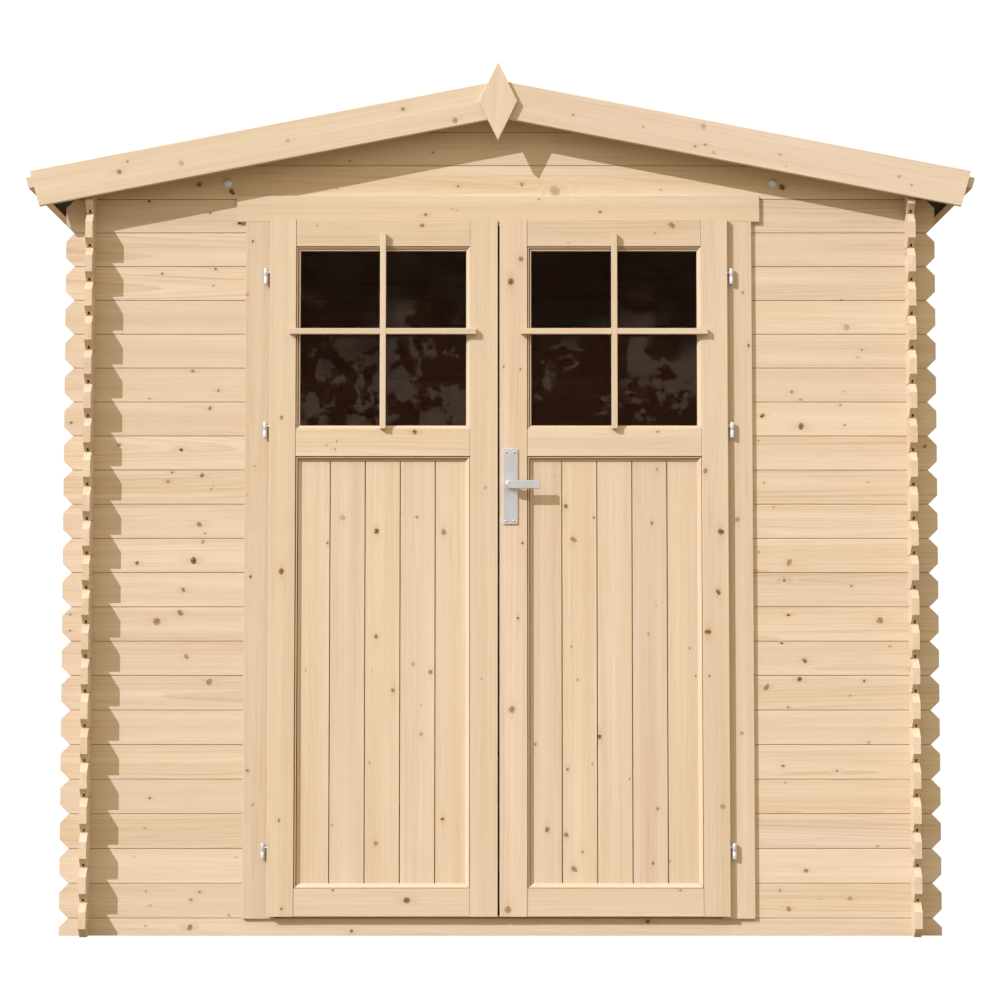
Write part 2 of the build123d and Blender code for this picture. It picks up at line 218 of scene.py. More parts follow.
def solid(piece, board, loop, start, end, splits=(), cuts=(), gone=None):
    """A closed length of timber: a (v, w) outline drawn out along u from start(v, w) to end(v, w).
    splits are v levels where the ends change direction, gone says which bands are missing over which stretch of u."""
    piece.begin()
    gone = gone or {}
    s = start if callable(start) else (lambda v, w: start)
    e = end if callable(end) else (lambda v, w: end)
    levels = [None] + sorted(splits) + [None]
    bands = [clip_band(loop, a, b) for a, b in zip(levels[:-1], levels[1:])]
    lo = max(s(v, w) for v, w in loop)
    hi = min(e(v, w) for v, w in loop)
    marks = set(cuts) | set(board.cuts(lo + 1, hi - 1))
    for stretches in gone.values():
        for a, b in stretches:
            marks |= {a, b}
    marks = sorted(m for m in marks if lo < m < hi)
    stops = [s] + [(lambda v, w, m=m: m) for m in marks] + [e]
    mids = []
    edge = [lo] + marks + [hi]
    for a, b in zip(edge[:-1], edge[1:]):
        mids.append((a + b) / 2)

    def missing(band, seg):
        return any(a < mids[seg] < b for a, b in gone.get(band, ()))

    n = len(bands)
    for seg in range(len(stops) - 1):
        f0, f1 = stops[seg], stops[seg + 1]
        for bi, band in enumerate(bands):
            if missing(bi, seg):
                continue
            for p, q in zip(band, band[1:] + band[:1]):
                other = None
                for side, level in ((bi - 1, levels[bi]), (bi + 1, levels[bi + 1])):
                    if level is not None and abs(p[0] - level) < 1e-6 and abs(q[0] - level) < 1e-6:
                        other = side
                if other is not None and not missing(other, seg):
                    continue
                high_w, low_w = max(p[1], q[1]), min(p[1], q[1])
                # painted shade: faces inside a board joint are marked to take a darker, browner colour
                deep = board.jointed and high_w <= -0.3 and low_w > -8.0 and (abs(p[0] - q[0]) < 1.3 or high_w < -5.0)
                piece.face(board, [(f0(*p), *p), (f1(*p), *p), (f1(*q), *q), (f0(*q), *q)], False, 1.0 if deep else 0.0)
            if seg == 0 or missing(bi, seg - 1):
                piece.face(board, [(f0(*p), *p) for p in band])
            if seg == len(stops) - 2 or missing(bi, seg + 1):
                piece.face(board, [(f1(*p), *p) for p in band])


def rect(v0, v1, w0, w1, r=1.2, corners=(1, 1, 1, 1), n=2):
    """A rectangle of (v, w) with rounded corners: v0w0, v1w0, v1w1, v0w1."""
    out = []
    for (v, w, sv, sw, a0), on in zip(((v0, w0, 1, 1, 180), (v1, w0, -1, 1, 270), (v1, w1, -1, -1, 0), (v0, w1, 1, -1, 90)), corners):
        if not on or r <= 0:
            out.append((v, w))
            continue
        for i in range(n + 1):
            a = math.radians(a0 + 90.0 * i / n)
            out.append((v + sv * r + r * math.cos(a), w + sw * r + r * math.sin(a)))
    return out


def stick(piece, lo, hi, grain, knots=(), r=1.2, face="-y", seed=None):
    """A rectangular timber between two corners, its grain along x, y or z, with softened long edges."""
    (x0, y0, z0), (x1, y1, z1) = lo, hi
    if grain == "z":
        b = Board((x0, y0, z0), (0, 0, 1), (1, 0, 0), (0, -1, 0), knots, seed, vc=(x1 - x0) / 2)
        solid(piece, b, rect(0, x1 - x0, -(y1 - y0), 0, r), 0.0, z1 - z0)
    elif grain == "x":
        b = Board((x0, y0, z0), (1, 0, 0), (0, 0, 1), (0, -1, 0), knots, seed, vc=(z1 - z0) / 2)
        solid(piece, b, rect(0, z1 - z0, -(y1 - y0), 0, r), 0.0, x1 - x0)
    else:
        b = Board((x1, y0, z0), (0, 1, 0), (0, 0, 1), (1, 0, 0), knots, seed, vc=(z1 - z0) / 2)
        solid(piece, b, rect(0, z1 - z0, -(x1 - x0), 0, r), 0.0, y1 - y0)
    return b


def slab(piece, board, outline, steps):
    """A flat shape with a convex (u, v) outline, stacked as (inset, w) steps from one face to the other."""
    piece.begin()
    n = len(outline)
    area = sum(outline[i][0] * outline[(i + 1) % n][1] - outline[(i + 1) % n][0] * outline[i][1] for i in range(n))
    pts = outline if area > 0 else outline[::-1]
    moves = []
    for i in range(n):
        (ax, ay), (bx, by), (cx, cy) = pts[i - 1], pts[i], pts[(i + 1) % n]
        d1 = Vector((bx - ax, by - ay)).normalized()
        d2 = Vector((cx - bx, cy - by)).normalized()
        n1, n2 = Vector((-d1.y, d1.x)), Vector((-d2.y, d2.x))
        m = n1 + n2
        moves.append(m / max(1e-6, m.dot(n1)))
    rings = [[(u + m.x * c, v + m.y * c, w) for (u, v), m in zip(pts, moves)] for c, w in steps]
    piece.face(board, rings[0])
    piece.face(board, rings[-1])
    for a, b in zip(rings[:-1], rings[1:]):
        for i in range(n):
            j = (i + 1) % n
            piece.face(board, [a[i], a[j], b[j], b[i]])


def rounded(u0, u1, v0, v1, radii, n=6):
    """Outline of a rectangle in the (u, v) plane with its own radius at each corner, anticlockwise from u1v1."""
    out = []
    for (u, v, su, sv, a0), r in zip(((u1, v1, -1, -1, 0), (u0, v1, 1, -1, 90), (u0, v0, 1, 1, 180), (u1, v0, -1, 1, 270)), radii):
        for i in range(n + 1):
            a = math.radians(a0 + 90.0 * i / n)
            p = (u + su * r + r * math.cos(a), v + sv * r + r * math.sin(a))
            if not out or abs(p[0] - out[-1][0]) + abs(p[1] - out[-1][1]) > 1e-4:
                out.append(p)
    if abs(out[0][0] - out[-1][0]) + abs(out[0][1] - out[-1][1]) < 1e-4:
        out.pop()
    return out


def turned(piece, axis_from, axis_to, profile, steps=28, smooth=True):
    """A turned part: (distance along, radius) points spun round the line between two points."""
    a, b = Vector(axis_from), Vector(axis_to)
    d = (b - a).normalized()
    side = d.cross(Vector((0, 0, 1))) if abs(d.z) < 0.9 else d.cross(Vector((1, 0, 0)))
    side.normalize()
    up = d.cross(side)
    board = Board(a, d, side, up, vc=0.0, seed=(0.5, 0.5, 0.5))
    piece.begin()
    rings = []
    for t, r in profile:
        if r < 1e-6:
            rings.append([(t, 0.0, 0.0)])
        else:
            rings.append([(t, r * math.cos(2 * math.pi * i / steps), r * math.sin(2 * math.pi * i / steps)) for i in range(steps)])
    for p, q in zip(rings[:-1], rings[1:]):
        for i in range(steps):
            j = (i + 1) % steps
            if len(p) == 1 and len(q) == 1:
                continue
            if len(p) == 1:
                piece.face(board, [p[0], q[j], q[i]], smooth)
            elif len(q) == 1:
                piece.face(board, [p[i], p[j], q[0]], smooth)
            else:
                piece.face(board, [p[i], p[j], q[j], q[i]], smooth)
    for ring in (rings[0], rings[-1]):
        if len(ring) > 1:
            piece.face(board, ring)


# ------------------------------------------------------------------ shader writing
class Nodes:
    def __init__(self, name):
        self.mat = bpy.data.materials.new(name)
        self.mat.use_nodes = True
        self.nt = self.mat.node_tree
        self.nt.nodes.clear()
        self.out = self.nt.nodes.new("ShaderNodeOutputMaterial")
        self.bsdf = self.nt.nodes.new("ShaderNodeBsdfPrincipled")
        self.nt.links.new(self.bsdf.outputs[0], self.out.inputs[0])

    def put(self, socket, value):
        if isinstance(value, bpy.types.NodeSocket):
            self.nt.links.new(value, socket)
        elif value is not None:
            if hasattr(socket, "default_value") and hasattr(socket.default_value, "__len__"):
                if not hasattr(value, "__len__"):
                    value = (value,) * len(socket.default_value)
                value = tuple(value)
                if len(socket.default_value) == 4 and len(value) == 3:
                    value = value + (1.0,)
            socket.default_value = value

    def math(self, op, a, b=None, c=None, clamp=False):
        n = self.nt.nodes.new("ShaderNodeMath")
        n.operation, n.use_clamp = op, clamp
        for i, x in enumerate((a, b, c)):
            self.put(n.inputs[i], x)
        return n.outputs[0]

    def add(self, a, b): return self.math("ADD", a, b)
    def sub(self, a, b): return self.math("SUBTRACT", a, b)
    def mul(self, a, b): return self.math("MULTIPLY", a, b)
    def div(self, a, b): return self.math("DIVIDE", a, b)

    def vmath(self, op, a, b=None, c=None):
        n = self.nt.nodes.new("ShaderNodeVectorMath")
        n.operation = op
        for i, x in enumerate((a, b, c)):
            if x is not None:
                self.put(n.inputs[i], x)
        return n.outputs["Value"] if op in ("LENGTH", "DOT_PRODUCT", "DISTANCE") else n.outputs["Vector"]

    def split(self, v):
        n = self.nt.nodes.new("ShaderNodeSeparateXYZ")
        self.put(n.inputs[0], v)
        return n.outputs[0], n.outputs[1], n.outputs[2]

    def join(self, x, y, z):
        n = self.nt.nodes.new("ShaderNodeCombineXYZ")
        for i, s in enumerate((x, y, z)):
            self.put(n.inputs[i], s)
        return n.outputs[0]

    def attr(self, name, out="Vector"):
        n = self.nt.nodes.new("ShaderNodeAttribute")
        n.attribute_type, n.attribute_name = "GEOMETRY", name
        return n.outputs[out]

    def noise(self, vec, scale=1.0, detail=2.0, rough=0.5, dims="3D", w=None):
        n = self.nt.nodes.new("ShaderNodeTexNoise")
        n.noise_dimensions = dims
        if dims != "1D":
            self.put(n.inputs["Vector"], vec)
        if w is not None:
            self.put(n.inputs["W"], w)
        n.inputs["Scale"].default_value = scale
        n.inputs["Detail"].default_value = detail
        n.inputs["Roughness"].default_value = rough
        return n.outputs["Fac"] if "Fac" in n.outputs else n.outputs[0]

    def step(self, x, lo, hi, flip=False):
        n = self.nt.nodes.new("ShaderNodeMapRange")
        n.interpolation_type = "SMOOTHSTEP"
        self.put(n.inputs["Value"], x)
        self.put(n.inputs["From Min"], lo)
        self.put(n.inputs["From Max"], hi)
        self.put(n.inputs["To Min"], 1.0 if flip else 0.0)
        self.put(n.inputs["To Max"], 0.0 if flip else 1.0)
        return n.outputs["Result"]

    def mix(self, fac, a, b, blend="MIX"):
        n = self.nt.nodes.new("ShaderNodeMix")
        n.data_type, n.blend_type = "RGBA", blend
        n.clamp_factor = True
        self.put(n.inputs[0], fac)
        self.put(n.inputs[6], a)
        self.put(n.inputs[7], b)
        return n.outputs[2]

    def bump(self, height, distance, strength=1.0):
        n = self.nt.nodes.new("ShaderNodeBump")
        n.inputs["Strength"].default_value = strength
        n.inputs["Distance"].default_value = distance
        self.nt.links.new(height, n.inputs["Height"])
        self.nt.links.new(n.outputs[0], self.bsdf.inputs["Normal"])

    def set(self, **kw):
        for k, v in kw.items():
            self.put(self.bsdf.inputs[k.replace("_", " ")], v)
        return self.mat


def srgb(r, g, b):
    f = lambda c: (c / 255 / 12.92) if c / 255 <= 0.04045 else ((c / 255 + 0.055) / 1.055) ** 2.4
    return f(r), f(g), f(b)


def wood(name, pale, deep, ring_depth=1.0, tint=1.0):
    """Planed spruce: growth rings cut by the board's faces, fibres along the grain, and knots that the rings bend round."""
    m = Nodes(name)
    gr, bd = m.attr("gr"), m.attr("bd")
    u, v, w = m.split(gr)
    s1, s2, s3 = m.split(bd)
    p = m.vmath("MULTIPLY_ADD", bd, (31.0, 17.0, 23.0), gr)

    slow = m.noise(m.vmath("MULTIPLY", p, (1.1, 7.0, 7.0)), 1.0, 1.0)
    mid = m.noise(m.vmath("MULTIPLY", p, (3.5, 34.0, 34.0)), 1.0, 1.0)
    blot = m.noise(p, 290.0, 1.0)

    # knots: how far this point is from each, in knot radii, measured along and across the knot's own axis
    fields = []
    for kn, qn in (("k1", "q1"), ("k2", "q2")):
        ku, kv, kr = m.split(m.attr(kn))
        asp, ang, dark = m.split(m.attr(qn))
        du, dv = m.sub(u, ku), m.sub(v, kv)
        ca, sa = m.math("COSINE", ang), m.math("SINE", ang)
        a = m.add(m.mul(du, ca), m.mul(dv, sa))
        b = m.sub(m.mul(dv, ca), m.mul(du, sa))
        e = m.math("SQRT", m.add(m.math("POWER", m.div(a, asp), 2.0), m.math("POWER", b, 2.0)))
        rel = m.div(e, m.math("MAXIMUM", kr, 0.0001))
        rel = m.add(rel, m.mul(m.sub(blot, 0.5), 0.85))
        halo_e = m.math("SQRT", m.add(m.math("POWER", m.div(du, 2.3), 2.0), m.math("POWER", dv, 2.0)))
        halo_rel = m.div(halo_e, m.math("MAXIMUM", kr, 0.0001))
        fields.append((rel, halo_rel, kr, dark, a, b))

    plain_ness = m.math("FRACT", m.add(m.mul(s1, 7.31), m.mul(s2, 3.77)))

    # the growth rings, as distance from the pith, which lies behind the face and wanders along the board
    a = m.add(v, m.add(m.mul(m.sub(s1, 0.5), 0.15), m.mul(m.sub(slow, 0.5), 0.05)))
    b = m.add(w, m.add(0.022, m.mul(s2, 0.075)))
    r = m.math("SQRT", m.add(m.math("POWER", a, 2.0), m.math("POWER", b, 2.0)))
    r = m.add(r, m.mul(u, m.mul(m.sub(s3, 0.5), 0.03)))
    r = m.add(r, m.mul(m.sub(mid, 0.5), 0.0035))
    r = m.add(r, m.mul(m.sub(slow, 0.5), 0.012))
    for rel, halo, kr, dark, ka, kb in fields:
        push = m.math("EXPONENT", m.mul(m.math("POWER", m.div(halo, 1.5), 2.0), -1.0))
        r = m.add(r, m.mul(m.mul(push, kr), 1.1))
    turns = m.div(r, m.add(0.0028, m.mul(s2, 0.0030)))
    f = m.math("FRACT", turns)
    ring = m.mul(m.step(f, 0.15, 0.9), m.step(f, 0.93, 1.0, flip=True))
    year = m.noise(None, 0.61, 1.0, dims="1D", w=turns)
    ring = m.mul(ring, m.add(0.25, m.mul(m.step(year, 0.3, 0.75), 1.0)))

    broad = m.noise(m.vmath("MULTIPLY", p, (0.8, 26.0, 26.0)), 1.0, 1.0)
    fine = m.noise(m.vmath("MULTIPLY", p, (1.6, 150.0, 150.0)), 1.0, 1.0)
    fibre = m.noise(m.vmath("MULTIPLY", p, (14.0, 1100.0, 1100.0)), 1.0, 0.0)

    flecks = m.noise(m.vmath("MULTIPLY", p, (7.0, 260.0, 260.0)), 1.0, 1.0)
    depth = m.mul(m.add(0.10, m.mul(m.math("POWER", plain_ness, 1.6), 0.95)), 0.34 * ring_depth)
    shade = m.add(m.mul(ring, depth), m.add(m.mul(m.sub(broad, 0.5), 0.62), m.add(m.mul(m.sub(fine, 0.5), 0.34), m.mul(m.sub(fibre, 0.5), 0.20))))
    shade = m.add(shade, m.mul(m.step(flecks, 0.60, 0.74), 0.16))
    shade = m.math("ADD", shade, 0.26, clamp=True)
    col = m.mix(shade, pale, deep)
    # each board is a little pinker, yellower, paler or deeper than the next
    pink = (pale[0] * 1.0, pale[1] * 0.962, pale[2] * 0.975)
    gold = (pale[0] * 1.0, pale[1] * 0.988, pale[2] * 0.925)
    lean = m.mix(s1, tuple(c / d for c, d in zip(pink, pale)), tuple(c / d for c, d in zip(gold, pale)))
    col = m.mix(0.6 * tint, col, lean, "MULTIPLY")
    level = m.add(0.955, m.mul(s3, 0.075))
    col = m.mix(1.0, col, m.join(level, level, level), "MULTIPLY")

    knot_all = None
    for rel, halo, kr, dark, ka, kb in fields:
        soft = m.mul(m.math("EXPONENT", m.mul(m.math("POWER", m.div(halo, 1.55), 2.0), -1.0)), m.add(0.06, m.mul(dark, 0.26)))
        col = m.mix(soft, col, (deep[0] * 0.84, deep[1] * 0.68, deep[2] * 0.54))
        inside = m.mul(m.step(rel, 0.62, 1.16, flip=True), m.add(0.28, m.mul(dark, 0.70)))
        patchy = m.step(m.add(blot, m.mul(m.math("FRACT", m.mul(rel, 2.2)), 0.16)), 0.40, 0.68)
        heart = m.math("MAXIMUM", m.step(rel, 0.22, 0.58, flip=True), m.step(kr, 0.0026, 0.0042, flip=True))
        core = m.mix(m.mul(patchy, m.sub(1.0, m.mul(heart, 0.7))), srgb(70, 43, 27), srgb(166, 122, 90))
        col = m.mix(inside, col, core)
        rim = m.mul(m.mul(m.step(rel, 0.66, 0.90), m.step(rel, 0.94, 1.14, flip=True)), m.mul(dark, m.step(kr, 0.003, 0.006)))
        col = m.mix(m.mul(rim, 0.55), col, srgb(82, 50, 32))
        crack = m.mul(m.mul(m.step(m.math("ABSOLUTE", kb), 0.0002, 0.0011, flip=True), m.step(rel, 0.6, 0.9, flip=True)), m.step(dark, 0.6, 0.9))
        col = m.mix(m.mul(crack, 0.8), col, srgb(48, 26, 16))
        knot_all = inside if knot_all is None else m.math("MAXIMUM", knot_all, inside)
    # painted shade: faces down in the joints and moulding grooves are given a darker, browner colour
    col = m.mix(m.attr("joint_painted_shade", "Fac"), col, (deep[0] * 0.95, deep[1] * 0.50, deep[2] * 0.10))
    rough = m.add(0.56, m.add(m.mul(ring, -0.08), m.mul(fibre, 0.12)))
    rough = m.sub(rough, m.mul(knot_all, 0.10))
    m.set(Base_Color=col, Roughness=rough)
    m.bsdf.inputs["Specular IOR Level"].default_value = 0.0
    m.bump(fibre, 0.00035, 0.45)
    return m.mat


def metal(name, colour, rough, grain_scale=(900.0, 900.0, 60.0), depth=0.00004, metallic=1.0):
    m = Nodes(name)
    tc = m.nt.nodes.new("ShaderNodeTexCoord")
    p = tc.outputs["Object"]
    brush = m.noise(m.vmath("MULTIPLY", p, grain_scale), 1.0, 2.0)
    cloud = m.noise(p, 45.0, 3.0)
    shade = m.add(0.86, m.add(m.mul(brush, 0.16), m.mul(cloud, 0.12)))
    col = m.mix(1.0, colour, m.join(shade, shade, shade), "MULTIPLY")
    m.set(Base_Color=col, Roughness=m.add(rough, m.add(m.mul(m.sub(brush, 0.5), 0.12), m.mul(m.sub(cloud, 0.5), 0.14))))
    m.bsdf.inputs["Metallic"].default_value = metallic
    m.bump(brush, depth, 0.6)
    return m.mat


def felt(name):
    m = Nodes(name)
    tc = m.nt.nodes.new("ShaderNodeTexCoord")
    p = tc.outputs["Object"]
    vor = m.nt.nodes.new("ShaderNodeTexVoronoi")
    vor.inputs["Scale"].default_value = 620.0
    m.put(vor.inputs["Vector"], p)
    grit = m.split(vor.outputs["Color"])[0]
    cloud = m.noise(p, 5.0, 4.0)
    grain = m.noise(p, 260.0, 2.0)
    shade = m.add(m.mul(m.math("POWER", grit, 3.0), 0.55), m.add(m.mul(cloud, 0.30), m.mul(grain, 0.15)))
    col = m.mix(shade, srgb(15, 14, 13), srgb(62, 60, 58))
    m.set(Base_Color=col, Roughness=m.add(0.82, m.mul(grit, 0.14)))
    m.bsdf.inputs["Specular IOR Level"].default_value = 0.25
    m.bump(m.add(m.math("SUBTRACT", 1.0, vor.outputs["Distance"]), m.mul(cloud, 0.8)), 0.0009, 0.7)
    return m.mat


def glass(name):
    m = Nodes(name)
    tc = m.nt.nodes.new("ShaderNodeTexCoord")
    p = tc.outputs["Object"]
    smear = m.noise(m.vmath("MULTIPLY", p, (5.0, 5.0, 9.0)), 1.0, 5.0, 0.6)
    m.set(Roughness=m.mul(m.step(smear, 0.55, 0.85), 0.0015))
    m.put(m.bsdf.inputs["Base Color"], m.mix(smear, (0.74, 0.73, 0.70), (0.80, 0.79, 0.77)))
    m.bsdf.inputs["Transmission Weight"].default_value = 1.0
    m.bsdf.inputs["IOR"].default_value = 1.45
    m.bump(m.noise(p, 7.0, 1.0), 0.0001, 0.1)
    return m.mat


PALE = srgb(220, 206, 188)
DEEP = srgb(189, 158, 122)
M_WALL = wood("spruce_wall", PALE, DEEP)
# painted shade: the gable boards, in the bargeboard's shadow, get a warmer, deeper copy of the wall wood, partly their
# own tone and partly painted warm shade
M_GABLE_SHADE_WARMED = wood("spruce_gable_shade_warmed", srgb(223, 208, 187), srgb(195, 161, 118))
M_DOOR = wood("spruce_door", srgb(217, 202, 182), srgb(187, 156, 121), 0.75)
M_TRIM = wood("spruce_trim", srgb(220, 206, 189), srgb(191, 162, 129), 0.45)
M_ROOF = wood("spruce_roof", srgb(218, 199, 176), srgb(185, 151, 114))
M_ZINC = metal("zinc", srgb(216, 214, 220), 0.50, metallic=0.6)
M_SATIN = metal("satin_steel", srgb(215, 214, 216), 0.44)
M_SCREW = metal("polished_screw", srgb(232, 231, 230), 0.26)
# painted shade: a dark metal for the screws' cross slots
M_SLOT_SHADE = metal("screw_slot_painted_shade", srgb(96, 92, 88), 0.5)
M_FELT = felt("mineral_felt")
M_GLASS = glass("pane")

